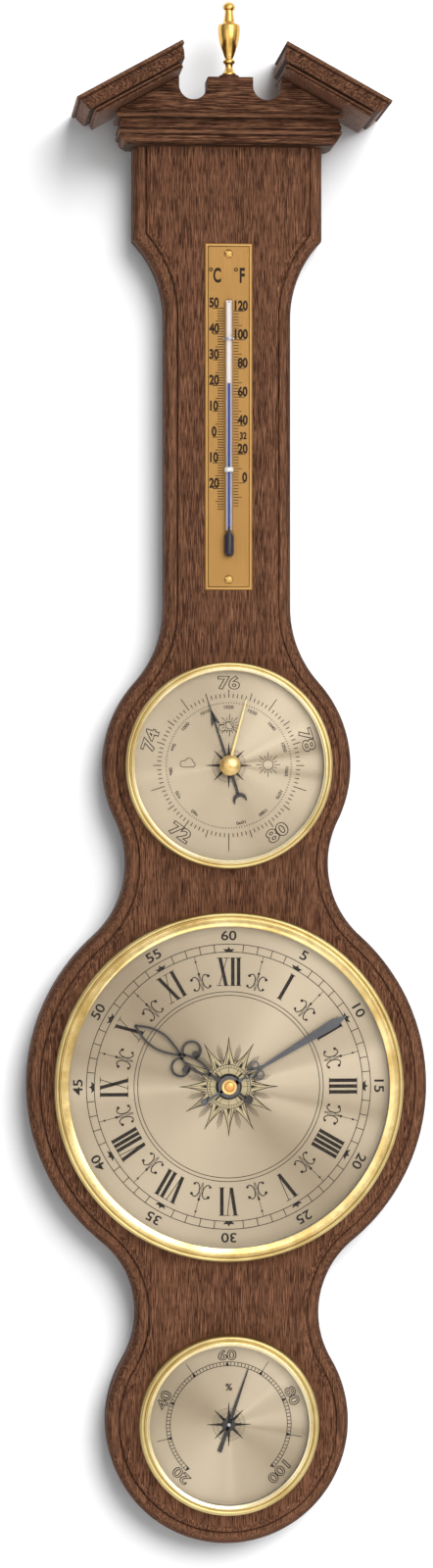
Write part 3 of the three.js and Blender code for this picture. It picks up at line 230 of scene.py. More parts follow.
def joined(name, *pieces):
    choose(*pieces)
    bpy.ops.object.join()
    return named(pieces[0], name)


def pose(x=0, y=0, z=0, clockwise=0, axis="Z"):
    """A turn about an axis, then a shift."""
    return Matrix.Translation((x * MM, y * MM, z * MM)) @ Matrix.Rotation(-math.radians(clockwise), 4, axis)


def moved(piece, *args, **settings):
    """A piece with a pose worked into its mesh."""
    piece.data.transform(pose(*args, **settings))
    return piece


def spun_to(piece, clockwise):
    return moved(piece, clockwise=clockwise)


def repeated(piece, count, clockwise=0, turn=360):
    """Copies of a piece inside its own mesh, spread evenly over a turn that starts at a clock angle."""
    choose(piece)
    editing()
    spread = math.radians(turn) * ((count - 1) / count if turn == 360 else 1)
    bpy.ops.mesh.spin(steps=count - 1, dupli=True, angle=spread, center=(0, 0, 0), axis=(0, 0, 1),
                      use_auto_merge=False)
    bpy.ops.object.mode_set(mode="OBJECT")
    return spun_to(piece, clockwise)


def turned(name, profile, segments=FINE):
    """Turned round the z axis, from (radius, height) points in order. A radius of 0 closes it."""
    (radius, height), *rest = [(max(radius, POLE), height) for radius, height in profile]
    piece = added(name, bpy.ops.mesh.primitive_circle_add, vertices=segments, radius=radius * MM,
                  location=(0, 0, height * MM))
    bpy.ops.object.transform_apply(location=True, rotation=False, scale=False)
    editing()
    for next_radius, next_height in rest:
        bpy.ops.mesh.extrude_edges_move(TRANSFORM_OT_translate={"value": (0, 0, (next_height - height) * MM)})
        grow = next_radius / radius
        bpy.ops.transform.resize(value=(grow, grow, 1), center_override=(0, 0, next_height * MM))
        radius, height = next_radius, next_height
    done()
    return piece


def rod(name, radius, low, high, segments=FINE):
    return turned(name, [(0, low), (radius, low), (radius, high), (0, high)], segments)


def tube(name, inner, outer, low, high, segments=FINE):
    return turned(name, [(inner, low), (outer, low), (outer, high), (inner, high), (inner, low)], segments)


def lofted(name, rings):
    """A closed skin through rings of (x, y, z) corners, flat at both ends."""
    piece = added(name, bpy.ops.mesh.primitive_circle_add, vertices=len(rings[0]), radius=MM, fill_type="NGON")
    for i, ring in enumerate(rings):
        editing(everything=i == 0)
        if i:
            bpy.ops.mesh.extrude_region_move(TRANSFORM_OT_translate={"value": (0, 0, MM)})
        bpy.ops.object.mode_set(mode="OBJECT")
        newest = [vertex for vertex in piece.data.vertices if vertex.select]
        for vertex, corner in zip(newest, ring):
            vertex.co = Vector(corner) * MM
    editing()
    done(FINE_MERGE)
    return piece


def drawn(name, corners, low, high):
    """A flat shape with its corners in order, as thick as from height low to high."""
    return lofted(name, [[(x, y, height) for x, y in corners] for height in (low, high)])


def slab(name, left, right, bottom, top, back, front):
    piece = added(name, bpy.ops.mesh.primitive_cube_add, size=MM)
    middle = Vector(((left + right) / 2, (bottom + top) / 2, (back + front) / 2)) * MM
    size = Matrix.Diagonal((right - left, top - bottom, front - back, 1))
    piece.data.transform(Matrix.Translation(middle) @ size)
    return piece


def moulded_bar(name, half, depth, levels):
    """A bar against the wall, from its top down. Levels are (drop, inset), and the inset draws in
    the front and both ends. The bar's top is at y 0 and its back at z 0."""
    return lofted(name, [[(inset - half, -drop, 0), (half - inset, -drop, 0),
                          (half - inset, -drop, depth - inset), (inset - half, -drop, depth - inset)]
                         for drop, inset in levels])


def arc(x, y, across, up, start, end, steps):
    """Points on an ellipse round x, y, from angle start to end."""
    angles = [math.radians(start + (end - start) * i / steps) for i in range(steps + 1)]
    return [(x + across * math.cos(a), y + up * math.sin(a)) for a in angles]


def around(radius, clockwise):
    """The place at a radius and a clock angle."""
    angle = math.radians(clockwise)
    return radius * math.sin(angle), radius * math.cos(angle)


def flowing(points, steps=4):
    """A smooth line through the points."""
    line = []
    for i in range(len(points) - 1):
        a, b, c, d = (Vector(points[min(max(k, 0), len(points) - 1)]) for k in range(i - 1, i + 3))
        bend, twist = 2 * a - 5 * b + 4 * c - d, 3 * b - a - 3 * c + d
        for step in range(steps):
            t = step / steps
            at = 0.5 * (2 * b + (c - a) * t + bend * t * t + twist * t ** 3)
            line.append((at.x, at.y))
    return line + [tuple(points[-1])]


def sided(side, points):
    """The points, or for side -1 their mirror image."""
    return [(side * x, y) for x, y in points]


class Layer:
    """Flat shapes between two heights over the wall."""

    def __init__(self, back, front):
        self.back, self.front = back, front

    def shape(self, corners):
        return drawn("shape", corners, self.back, self.front)

    def bar(self, left, right, bottom, top):
        return slab("bar", left, right, bottom, top, self.back, self.front)

    def tick(self, inner, outer, width):
        return self.bar(-width / 2, width / 2, inner, outer)

    def dot(self, x, y, radius, segments=24):
        return self.shape(arc(x, y, radius, radius, 0, 360 * (segments - 1) / segments, segments - 1))

    def eye(self, inner, outer, segments=FINE):
        return tube("eye", inner, outer, self.back, self.front, segments)

    def ring(self, radius, width, segments=ROUND):
        return self.eye(radius - width / 2, radius + width / 2, segments)

    def ribbon(self, line, widths):
        """A flat strip along a line. Widths are one number, or one for each end."""
        first, last = widths if isinstance(widths, tuple) else (widths, widths)
        left, right = [], []
        for i, here in enumerate(line):
            before, after = line[max(i - 1, 0)], line[min(i + 1, len(line) - 1)]
            way = (Vector(after) - Vector(before)).normalized()
            half = (first + (last - first) * i / (len(line) - 1)) / 2
            left.append((here[0] - way.y * half, here[1] + way.x * half))
            right.append((here[0] + way.y * half, here[1] - way.x * half))
        return self.shape(left + right[::-1])

    def figures(self, text, height, x, y, squeeze=1.0, weight=0.0, outline=0.0, clockwise=0):
        """Figures or a unit sign as thin raised ink, centred on x, y, with their capital height."""
        piece = added("figures", bpy.ops.object.text_add)
        text_data = piece.data
        text_data.body = text
        text_data.size = height * MM * TEXT_SIZE
        text_data.resolution_u = 5
        text_data.offset = weight * MM
        if outline:
            text_data.fill_mode = "NONE"
            text_data.bevel_depth = outline / 2 * MM
            text_data.bevel_resolution = 0
        else:
            text_data.extrude = PRINT / 2 * MM
        bpy.ops.object.convert(target="MESH")
        editing()
        done(FINE_MERGE)
        corners = [vertex.co for vertex in piece.data.vertices]
        lowest, highest = (Vector([extreme(corner[k] for corner in corners) for k in range(3)])
                           for extreme in (min, max))
        grow = height * MM / (highest.y - lowest.y)
        flat = PRINT * MM / (highest.z - lowest.z)
        shape = Matrix.Diagonal((grow * squeeze, grow, flat, 1)) @ Matrix.Translation(-(lowest + highest) / 2)
        piece.data.transform(pose(x, y, self.back + PRINT / 2, clockwise) @ shape)
        return piece


def placed(piece, finish, node=None, body="root", at=(0, 0), clockwise=0, upright=None, smooth=SMOOTH):
    """Stands a finished piece up in the frame, and says what it is made of, what carries it and
    which node it replaces. An upright piece was turned round z, and upright is its axis's depth."""
    piece.data.transform(STAND @ pose(*at, 0, clockwise) if upright is None else pose(0, -upright))
    choose(piece)
    bpy.ops.object.shade_smooth_by_angle(angle=math.radians(smooth))
    piece.data.materials.clear()
    piece.data.materials.append(finishes[finish])
    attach(piece, body)
    if node:
        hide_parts(node)
    return piece


# Sizes that are read off the frame


class Spot(Layer):
    """A node's box in the front view."""

    def __init__(self, node):
        low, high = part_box(node)
        super().__init__(-high.y / MM, -low.y / MM)
        self.left, self.right = low.x / MM, high.x / MM
        self.bottom, self.top = low.z / MM, high.z / MM
        self.x = (self.left + self.right) / 2
        self.y = (self.bottom + self.top) / 2
        self.depth = (self.back + self.front) / 2
        self.radius = (self.right - self.left) / 2


class Instrument:
    """A round instrument: where it lies, the boxes of its layers, and the radii of its bezel's
    opening and of the board's disc round it."""

    def __init__(self, name, opening, disc):
        self.name, self.opening, self.disc = name, opening, disc
        self.bezel, self.face, self.glass, self.case = (
            Spot(f"{name}_{layer}") for layer in ("bezel", "dial", "glass", "case"))
        self.at = self.bezel.x, self.bezel.y
        self.ink = Layer(self.face.front, self.face.front + PRINT)

    def put(self, piece, finish, node=None, body="root", clockwise=0, smooth=SMOOTH):
        return placed(piece, finish, node, body, self.at, clockwise, smooth=smooth)

    def printed(self, name, marks, ink="black_ink"):
        return self.put(joined(name, *marks), ink)


BAROMETER = Instrument("barometer", 46.6, 61.3)
CLOCK = Instrument("clock", 78.9, 99)
HYGROMETER = Instrument("hygrometer", 39.2, 60)
INSTRUMENTS = (BAROMETER, CLOCK, HYGROMETER)
BOARD, PLATE, CORNICE, TYMPANUM = map(Spot, ("back_board", "thermometer_plate", "cornice_block", "tympanum"))
RAKE_SLOPE = 28.8
RAKE_UPPER_X, RAKE_UPPER_Y = 25.4, Spot("raking_cornice_left").top

# Finishes

# Colours painted onto mouldings: a painted highlight on crests and edges, and painted shade in quirks and on
# shaded faces
PAINTED_HIGHLIGHT, PAINTED_SHADE = (150, 108, 80), (26, 16, 12)


def wood(name, grain, light, dark, across, bands, shift=(0, 0, 0)):
    """Open-grained brown wood. Grain is the angle of its fibres from upright. Bands are (place, half
    width, share, colour) of painted highlights on crests and painted shade in quirks, under ledges and
    on the board's side, measured across in millimetres."""
    finish = Finish(name, Specular_IOR_Level=0.03)

    def grained(fine, coarse, detail, rough=0.5):
        return finish.noise(finish.mapped((fine, fine, coarse), shift, grain), detail=detail, rough=rough)

    streaks = finish.ease(grained(170, 8, 3), 0.34, 0.68)
    fibres = grained(3000, 80, 3, 0.62)
    pores = finish.ease(grained(2900, 110, 2, 0.6), 0.49, 0.60)
    flecks = finish.ease(grained(1500, 220, 1), 0.56, 0.67)
    tone = finish.mix(streaks, dark, light)
    for mask, share, colour in ((finish.ease(fibres, 0.40, 0.70), 0.75, (180, 128, 96)),
                                (pores, 0.75, (32, 18, 11)), (flecks, 0.4, (46, 27, 18))):
        tone = finish.mix(mask * share, tone, colour)
    level = finish.dot(finish.place, across)
    # Painted highlights and painted shade, in bands across the moulding
    for place, half, share, colour in bands:
        off = (level - place * MM).math("ABSOLUTE")
        tone = finish.mix(finish.ease(off, half * MM, half * 0.5 * MM) * share, tone, colour)
    finish.set(Base_Color=tone, Roughness=pores * 0.2 + 0.5)
    finish.bump(fibres * 0.35 - pores, 0.5, 0.0003)
    return finish.material


def moulding_bands(top, highlight_lines, shade_lines):
    """Painted highlights on crests and painted shade in quirks and under ledges, as (drop, half width) below a
    moulding's top.
    """
    return [(top - drop, half, share, colour)
            for lines, share, colour in ((highlight_lines, 0.3, PAINTED_HIGHLIGHT), (shade_lines, 0.6, PAINTED_SHADE)) for drop, half in lines]


def rake_wood(name, side, light, dark):
    slope = math.radians(RAKE_SLOPE)
    across = (side * math.sin(slope), 0, math.cos(slope))
    top = across[0] * side * RAKE_UPPER_X + across[2] * RAKE_UPPER_Y
    # Painted highlights on the rake's crests, painted shade in its quirks
    bands = moulding_bands(top, [(0.9, 0.7), (9.3, 0.6)], [(2.2, 0.5), (8.3, 0.35), (10.3, 0.4)])
    return wood(name, 90 + side * RAKE_SLOPE, light, dark, across, bands)


def polished(name, colour, shade, roughness, grit=900, strength=0.04):
    """Metal that is bright all over, with slight clouding and fine marks."""
    finish = Finish(name, Metallic=1)
    marks = finish.noise(finish.place, grit, 4, 0.65)
    finish.set(Base_Color=finish.mix(finish.clouds(60, 0.35, 0.7), colour, shade),
               Roughness=finish.ease(marks, 0.2, 0.8) * 0.12 + roughness)
    finish.bump(marks, strength, 0.0002)
    return finish.material


def brushed(name, colour, shade, along, metallic=0.75, roughness=0.36):
    """Metal with straight fine scratches. Along stretches them in one direction."""
    finish = Finish(name, Metallic=metallic)
    hairs = finish.noise(finish.mapped([2600 / stretch for stretch in along]), detail=3, rough=0.7)
    tone = finish.mix(finish.ease(hairs, 0.3, 0.7) * 0.5, colour, shade)
    finish.set(Base_Color=finish.mix(finish.clouds(35, 0.4, 0.7, 2) * 0.3, tone, shade),
               Roughness=hairs * 0.12 + roughness)
    finish.bump(hairs, 0.08, 0.0002)
    return finish.material


def moulded(name, colour, shade, roughness=0.5, grain=2500):
    """Plastic or enamel with a fine even texture."""
    finish = Finish(name)
    grains = finish.noise(finish.place, grain, 2)
    finish.set(Base_Color=finish.mix(finish.clouds(45, 0.3, 0.75), colour, shade),
               Roughness=grains * 0.15 + roughness)
    finish.bump(grains, 0.1, 0.0001)
    return finish.material


def clear(name, tint, gloss):
    """Clear glass: it lets light straight through and mirrors it at a slant."""
    finish = Finish(name, Base_Color=paint(*tint), Specular_IOR_Level=0.9)
    slant = finish.node("ShaderNodeLayerWeight", {"Blend": 0.12}, "Fresnel")
    finish.set(Alpha=slant * 0.9, Roughness=finish.noise(finish.place, 120) * 0.03 + gloss)
    return finish.material


def inked(name, colour, wear):
    finish = Finish(name, Roughness=0.6, Specular_IOR_Level=0.15)
    finish.set(Base_Color=finish.mix(finish.clouds(900, 0.45, 0.75) * wear, colour, (120, 104, 84)))
    return finish.material


def spun(name, unit, level, painted_sheen):
    """A spun champagne dial. Its sheen is painted into the base colour: painted highlights and painted
    shade that run out from the centre in wedges of (clock angle, sharpness, lift)."""
    finish = Finish(name, Metallic=0.3, Roughness=0.42)
    x, y = unit.at
    centred = finish.mapped(shift=(-x * MM, 0, -y * MM))
    across, up = finish.axis(centred, "X"), finish.axis(centred, "Z")
    angle = across.math("ARCTAN2", up)
    reach = (across * across + up * up) ** 0.5
    # Painted sheen: each wedge lifts or lowers the base colour, as a painted highlight or painted shade
    for clockwise, sharpness, lift in painted_sheen:
        facing = (angle - math.radians(clockwise)).math("COSINE").math("MAXIMUM", 0)
        level = facing ** sharpness * lift + level
    fine_rings = finish.node("ShaderNodeCombineXYZ", {0: reach * 3500, 1: angle * 2})
    grooves = finish.noise(fine_rings, detail=3, rough=0.7)
    clouds = finish.noise(finish.place, 55, 3)
    level = level + (grooves - 0.5) * 0.10 + (clouds - 0.5) * 0.10
    finish.set(Base_Color=finish.mix(finish.ease(level, -0.6, 0.6), (128, 111, 83), (214, 198, 172)))
    finish.bump(grooves, 0.05, 0.0001)
    return finish.material


LONGWAYS = (1, 1, 60)
FINISHES = [
    # The board: painted shade on its side and its quarter round, and a painted highlight along the round's crest
    (wood, "board_wood", 0, (106, 70, 53), (80, 51, 39), (0, -1, 0),
     [(0, 11.6, 0.6, PAINTED_SHADE), (14.4, 2.6, 0.3, PAINTED_SHADE), (17.4, 0.9, 0.14, PAINTED_HIGHLIGHT)]),
    # Level wood: painted highlights on the cornice's fillet and bead, painted shade in its quirks and along its
    # bottom
    (wood, "level_wood", 90, (86, 55, 42), (60, 38, 29), (0, 0, 1),
     moulding_bands(CORNICE.top, [(1.1, 0.8), (9.1, 0.8)], [(2.4, 0.5), (7.5, 0.45), (10.5, 0.5), (14.5, 0.6)]),
     (0.3, 0.2, 0.1)),
    # The right rake is painted a little lighter than the left: painted light on the side the lamps fall from
    (rake_wood, "left_rake_wood", -1, (86, 55, 42), (60, 38, 30)),
    (rake_wood, "right_rake_wood", 1, (90, 58, 45), (65, 41, 33)),
    # The lips' paler brass is a painted highlight and the bezel rings' darker brass is painted shade of their
    # darker reflections; the clock lip's dark clouds are painted reflection
    (polished, "polished_brass", (244, 228, 184), (236, 212, 156), 0.16, 400, 0.01),
    (polished, "clock_lip_brass", (240, 214, 152), (200, 166, 98), 0.12, 300, 0.012),
    (polished, "bezel_brass", (204, 184, 128), (184, 160, 104), 0.3, 600, 0.03),
    (polished, "turned_brass", (232, 190, 108), (214, 166, 84), 0.15, 700, 0.02),
    (polished, "screw_brass", (206, 168, 104), (178, 138, 76), 0.36, 1200, 0.1),
    (polished, "cap_brass", (226, 166, 96), (208, 144, 76), 0.3, 1200, 0.05),
    (polished, "knob_brass", (226, 194, 132), (206, 168, 102), 0.24, 1500, 0.12),
    (polished, "capsule_metal", (214, 212, 204), (188, 186, 178), 0.3),
    (brushed, "brushed_brass", (172, 128, 60), (156, 111, 47), LONGWAYS, 0.3, 0.45),
    (brushed, "edge_brass", (206, 164, 98), (186, 142, 76), LONGWAYS, 0.3, 0.4),
    (brushed, "movement_brass", (214, 180, 110), (190, 150, 84), (30, 1, 1)),
    (brushed, "plated_steel", (206, 204, 196), (176, 174, 168), (1, 1, 8)),
    (brushed, "spring_steel", (190, 192, 196), (156, 158, 164), (20, 1, 1)),
    (brushed, "strip_metal", (206, 168, 118), (176, 134, 88), (1, 12, 1)),
    (brushed, "copper_winding", (206, 124, 78), (164, 88, 52), (1, 1, 0.6), 0.9),
    (moulded, "black_enamel", (38, 33, 30), (50, 44, 40), 0.42, 1800),
    (moulded, "grey_enamel", (72, 72, 78), (88, 88, 94), 0.3, 1800),
    (moulded, "tube_enamel", (246, 236, 230), (236, 222, 216), 0.4),
    (moulded, "blue_liquid", (32, 72, 168), (26, 60, 150), 0.3, 400),
    (moulded, "bulb_liquid", (38, 24, 40), (28, 18, 38), 0.3, 400),
    (moulded, "clip_plastic", (240, 238, 232), (226, 222, 216), 0.4),
    (moulded, "black_plastic", (44, 44, 46), (34, 34, 36), 0.5),
    (moulded, "wheel_plastic", (236, 232, 220), (222, 216, 202), 0.35),
    (moulded, "circuit_laminate", (46, 104, 66), (34, 86, 52), 0.35),
    (moulded, "cell_jacket", (56, 60, 64), (44, 47, 50), 0.3, 900),
    (clear, "clear_glass", (255, 255, 255), 0.02),
    (clear, "tube_glass", (90, 92, 100), 0.04),
    (inked, "black_ink", (44, 38, 34), 0.15),
    (inked, "brown_ink", (44, 30, 18), 0.08),
    (inked, "grey_ink", (116, 104, 84), 0.3),
    (inked, "pale_ink", (208, 192, 152), 0.05),
    # Each dial's wedges are painted sheen, lighter and darker in its base colour
    (spun, "clock_dial", CLOCK, 0.0, [
        (36, 17, 0.22), (77, 500, 0.16), (84, 90, 0.24), (101, 500, -0.14), (108, 90, 0.14), (138, 23, -0.18),
        (210, 8, 0.17), (268, 400, 0.16), (282, 300, -0.1), (312, 10, -0.26)]),
    (spun, "barometer_dial", BAROMETER, 0.01, [
        (42, 12, 0.24), (64, 260, 0.2), (79, 500, -0.2), (88, 300, 0.16), (97, 500, -0.16), (110, 33, 0.15),
        (158, 50, -0.10), (240, 15, 0.06), (262, 260, 0.1), (335, 8, -0.08)]),
    (spun, "hygrometer_dial", HYGROMETER, 0.03, [
        (36, 9, 0.2), (52, 260, 0.14), (82, 90, 0.18), (97, 400, -0.12), (125, 17, -0.14), (178, 260, 0.1),
        (208, 6, 0.22), (300, 8, -0.22)]),
]
finishes = {name: maker(name, *values) for maker, name, *values in FINISHES}

# Board

HEAD_HALF_WIDTH, HEAD_LENGTH = 46.8, 45.3
NECK_HALF_WIDTH = 31.3
SHOULDER_RADIUS = FOOT_RADIUS = 55
UPPER_WAIST_RADIUS, LOWER_WAIST_RADIUS = 48, 45.5
FACET = 2.5  # the turn between two corners of a curve
WOOD_SMOOTH = 28


def bearing(start, end):
    return math.degrees(math.atan2(end[1] - start[1], end[0] - start[0]))


def waist_centre(upper, lower, radius):
    """Centre of the hollow curve that touches the discs of two instruments."""
    (_, high), (_, low) = upper.at, lower.at
    a, b = upper.disc + radius, lower.disc + radius
    y = (a * a - b * b + low ** 2 - high ** 2) / (2 * (low - high))
    return math.sqrt(a * a - (high - y) ** 2), y


def board_outline(inset=0):
    """The board's corners, drawn in by an inset except at its top."""
    shoulder_x = NECK_HALF_WIDTH + SHOULDER_RADIUS
    reach = shoulder_x - HEAD_HALF_WIDTH
    shoulder = (shoulder_x, BOARD.top - HEAD_LENGTH - math.sqrt(SHOULDER_RADIUS ** 2 - reach ** 2))
    hollow = SHOULDER_RADIUS + inset
    corner = (HEAD_HALF_WIDTH - inset, shoulder[1] + math.sqrt(hollow ** 2 - (reach + inset) ** 2))
    right = [(corner[0], BOARD.top), *arc(*shoulder, hollow, hollow, bearing(shoulder, corner), 180, 18)]

    foot_x = NECK_HALF_WIDTH + FOOT_RADIUS
    foot = (foot_x, BAROMETER.at[1] + math.sqrt((FOOT_RADIUS + BAROMETER.disc) ** 2 - foot_x ** 2))
    hollows = [(foot, FOOT_RADIUS),
               (waist_centre(BAROMETER, CLOCK, UPPER_WAIST_RADIUS), UPPER_WAIST_RADIUS),
               (waist_centre(CLOCK, HYGROMETER, LOWER_WAIST_RADIUS), LOWER_WAIST_RADIUS)]
    # Hollows and discs by turns, from the neck down
    curves = []
    for (centre, radius), unit in zip(hollows, INSTRUMENTS):
        curves += [(centre, radius + inset), ((0, unit.at[1]), unit.disc - inset)]
    for i, (centre, radius) in enumerate(curves):
        start = bearing(centre, curves[i - 1][0]) if i else 180
        end = bearing(centre, curves[i + 1][0]) if i + 1 < len(curves) else -90
        if i % 2 == 0 and end < 0:
            end += 360
        steps = max(2, round(abs(end - start) / FACET))
        right += arc(*centre, radius, radius, start, end, steps)[min(i, 1):]
    return [(-x, y) for x, y in right[:-1]] + right[::-1]


# The moulded edge as (distance in, drop below the field): a quarter round, a quirk and a slope
EDGE_MOULDING = [*arc(5.2, 9, -5.2, -6.6, 0, 90, 10),
                 (5.9, 2.5), (6.0, 3.4), (6.65, 3.4), (6.8, 0.9), (7.3, 0.7), (9.8, 0.0)]


def make_board():
    levels = [(0, BOARD.back), *[(inset, BOARD.front - drop) for inset, drop in EDGE_MOULDING]]
    board = lofted("board", [[(x, y, height) for x, y in board_outline(inset)] for inset, height in levels])
    tools = [moved(rod("bore", unit.glass.radius + 0.5, -2, BOARD.front + 2, 96), *unit.at)
             for unit in INSTRUMENTS]
    # The keyhole's plate is let in, and the screw's head has room behind its slot
    plate, ease = Spot("hanger_plate"), 0.3
    slot, entry, travel, floor = 3.5, 5.8, 9, 7
    tools.append(slab("recess", plate.left - ease, plate.right + ease, plate.bottom - ease, plate.top + ease,
                      -2, plate.front))
    tools.append(slab("slot_pocket", -slot, slot, -travel, 0, -1, floor))
    tools.append(rod("slot_end", slot, -1, floor, 32))
    tools.append(moved(rod("entry_pocket", entry, -1, floor, 32), 0, -travel))
    placed(carved(board, *tools), "board_wood", "back_board", smooth=WOOD_SMOOTH)


# Pediment

CORNICE_PROFILE = [
    (0, 0.25), (0.25, 0), (1.75, 0), (2.0, 0.2), (2.05, 2.2), (2.9, 2.5),
    *[(3.0 + 4.2 * t / 8, 2.3 - 1.4 * math.sin(t / 8 * math.pi / 2)) for t in range(9)],
    (7.35, 1.5), (7.9, 1.6), *arc(9.1, 1.6, -1.2, -0.95, 20, 160, 7), (10.4, 1.9),
    *arc(10.6, 5.2, 3.6, 3.1, -90, 0, 8), (14.7, 5.4),
]
RAKE_PROFILE = [
    (0, 0.3), (0.3, 0), (1.7, 0), (2.0, 0.3), (2.1, 1.3),
    *[(2.2 + 5.9 * t / 9, 1.35 + 1.75 * (1 - math.cos(t / 9 * math.pi / 2))) for t in range(10)],
    (8.2, 6.2), (8.6, 6.4), *arc(9.3, 6.1, -0.75, -0.95, 0, 180, 6), (10.3, 5.3), (11.1, 5.5), (11.4, 5.8),
]


def make_cornice():
    bar = moulded_bar("cornice", CORNICE.right, CORNICE.front, CORNICE_PROFILE)
    placed(bar, "level_wood", "cornice_block", at=(0, CORNICE.top), smooth=WOOD_SMOOTH)


def make_rake(side, hand):
    node = f"raking_cornice_{hand}"
    spot = Spot(node)
    slope = math.radians(RAKE_SLOPE)
    # The box's top is the upper corner of the bar's back, and its outer side gives the length
    outer = spot.right if side > 0 else -spot.left
    half = (outer - RAKE_UPPER_X) / math.cos(slope) / 2
    bar = moulded_bar(node + "_moulding", half, spot.front, RAKE_PROFILE)
    middle = (side * (RAKE_UPPER_X + half * math.cos(slope)), spot.top - half * math.sin(slope))
    placed(bar, f"{hand}_rake_wood", node, at=middle, clockwise=side * RAKE_SLOPE, smooth=WOOD_SMOOTH)


def make_tympanum():
    half, high = TYMPANUM.right, TYMPANUM.top
    pedestal, notch, notch_y = 11.2, 13.9, 52
    end_height = 2.1
    stud, stud_foot = 1.5, 38
    outer = pedestal + notch
    slope = math.tan(math.radians(RAKE_SLOPE))

    def under_rake(x):
        return (x, TYMPANUM.bottom + end_height + slope * (half - x))

    right = [(half, TYMPANUM.bottom), under_rake(half), under_rake(outer),
             *arc(pedestal + notch / 2, notch_y, notch / 2, notch / 2, 0, -180, 32), (pedestal, high)]
    board = drawn("tympanum_board", right + sided(-1, right[::-1]), TYMPANUM.back, TYMPANUM.front)
    softened(board, 0.4)
    carved(board, moved(rod("stud_hole", stud, stud_foot, high + 2, 24), 0, 0, TYMPANUM.depth, 90, "X"))
    placed(board, "level_wood", "tympanum", smooth=WOOD_SMOOTH)


def make_finial():
    button, finial = Spot("finial_button"), Spot("finial")
    foot, base, radius = button.top, button.bottom, button.radius
    bore, rim, stud = 1.5, 0.9, 1.2
    seat = turned("finial_seat", [(bore, base), (radius, base), *arc(radius - rim, foot - rim, rim, rim, 0, 90, 6),
                                  (bore, foot), (bore, base)])
    placed(seat, "level_wood", "finial_button", upright=button.depth)
    turning = [
        (3.3, 0), (3.35, 0.8), (2.6, 1.6), (1.95, 3.2), (1.8, 4.6), (2.0, 5.3), (2.75, 5.9), (2.95, 6.7),
        (2.75, 7.4), (2.0, 7.9), (1.95, 8.4), (2.5, 9.6), (3.4, 12.2), (4.3, 15.0), (5.0, 18.0), (5.4, 21.0),
        (5.45, 22.8), (5.35, 24.1), (4.9, 24.9), (3.6, 25.3), (2.9, 25.9), (2.6, 27.4), (2.3, 29.4),
        (2.05, 31.2), (2.2, 31.9), (2.95, 32.6), (3.15, 33.5), (2.9, 34.4), (2.1, 35.2), (1.2, 35.9), (0, 36.2),
    ]
    profile = [(0, finial.bottom), (stud, finial.bottom), (stud, foot)]
    profile += [(radius, foot + height) for radius, height in flowing(turning, 3)]
    placed(turned("finial_turning", profile), "turned_brass", "finial", upright=button.depth)


# Thermometer

C_ZERO, MM_PER_C = -119.4, 1.267
F_ZERO, MM_PER_F = -141.9, MM_PER_C / 1.8
TUBE = Spot("thermometer_tube")


def make_plate():
    half, front = PLATE.radius, PLATE.front

    def panel(name, levels):
        """Through rectangles at (distance in from the plate's outline, height)."""
        return lofted(name, [[
            (inset - half, PLATE.bottom + inset, height), (half - inset, PLATE.bottom + inset, height),
            (half - inset, PLATE.top - inset, height), (inset - half, PLATE.top - inset, height)]
            for inset, height in levels])

    # A bevelled edge, a fine engraved line inside it and a brighter brass line between them
    plate = panel("scale_plate", [
        (0, PLATE.back), (0, front - 0.4), (0.35, front - 0.05), (0.5, front), (1.3, front), (1.45, front - 0.2),
        (1.65, front - 0.2), (1.8, front)])
    placed(plate, "brushed_brass", "thermometer_plate", smooth=20)
    inner, outer, low, high = 0.75, 1.1, front - 0.1, front + 0.03
    line = panel("plate_edge_line", [(outer, low), (inner, low), (inner, high), (outer, high), (outer, low)])
    placed(line, "edge_brass", smooth=20)


def print_scales():
    ink = Layer(PLATE.front, PLATE.front + PRINT)
    gap, rise, squeeze = 2.3, 2.8, 0.74
    marks = []
    for side, zero, step, half, degrees, ten, five, short in (
            (-1, C_ZERO, MM_PER_C, 0.2, range(-28, 51), 10, 5, 3.2),
            (1, F_ZERO, MM_PER_F, 0.17, range(-16, 121, 2), 20, 10, 2.6)):
        for degree in degrees:
            y = zero + degree * step
            reach = 5.6 if degree % ten == 0 else 4.2 if degree % five == 0 else short
            marks.append(ink.bar(*sorted((side * gap, side * (gap + reach))), y - half, y + half))
    for value in range(-20, 51, 10):
        marks.append(ink.figures(str(abs(value)), 5.1, -7.2, C_ZERO + value * MM_PER_C + rise, squeeze, 0.3))
    for value in range(0, 121, 20):
        text = str(value)
        x = (7.9, 6.9, 6.2)[len(text) - 1]
        marks.append(ink.figures(text, 5.1, x, F_ZERO + value * MM_PER_F + rise, squeeze, 0.3))
    marks.append(ink.figures("32", 3.6, 7.2, F_ZERO + 32 * MM_PER_F + 0.7, squeeze, 0.2))
    for letter, x in (("C", -5.7), ("F", 6.7)):
        marks.append(ink.figures(letter, 7.5, x, PLATE.top - 15.8, 0.58, 0.34))
        marks.append(moved(ink.ring(0.72, 0.55, 24), x - 3.1, PLATE.top - 13.0))
    placed(joined("plate_scales", *marks), "brown_ink")


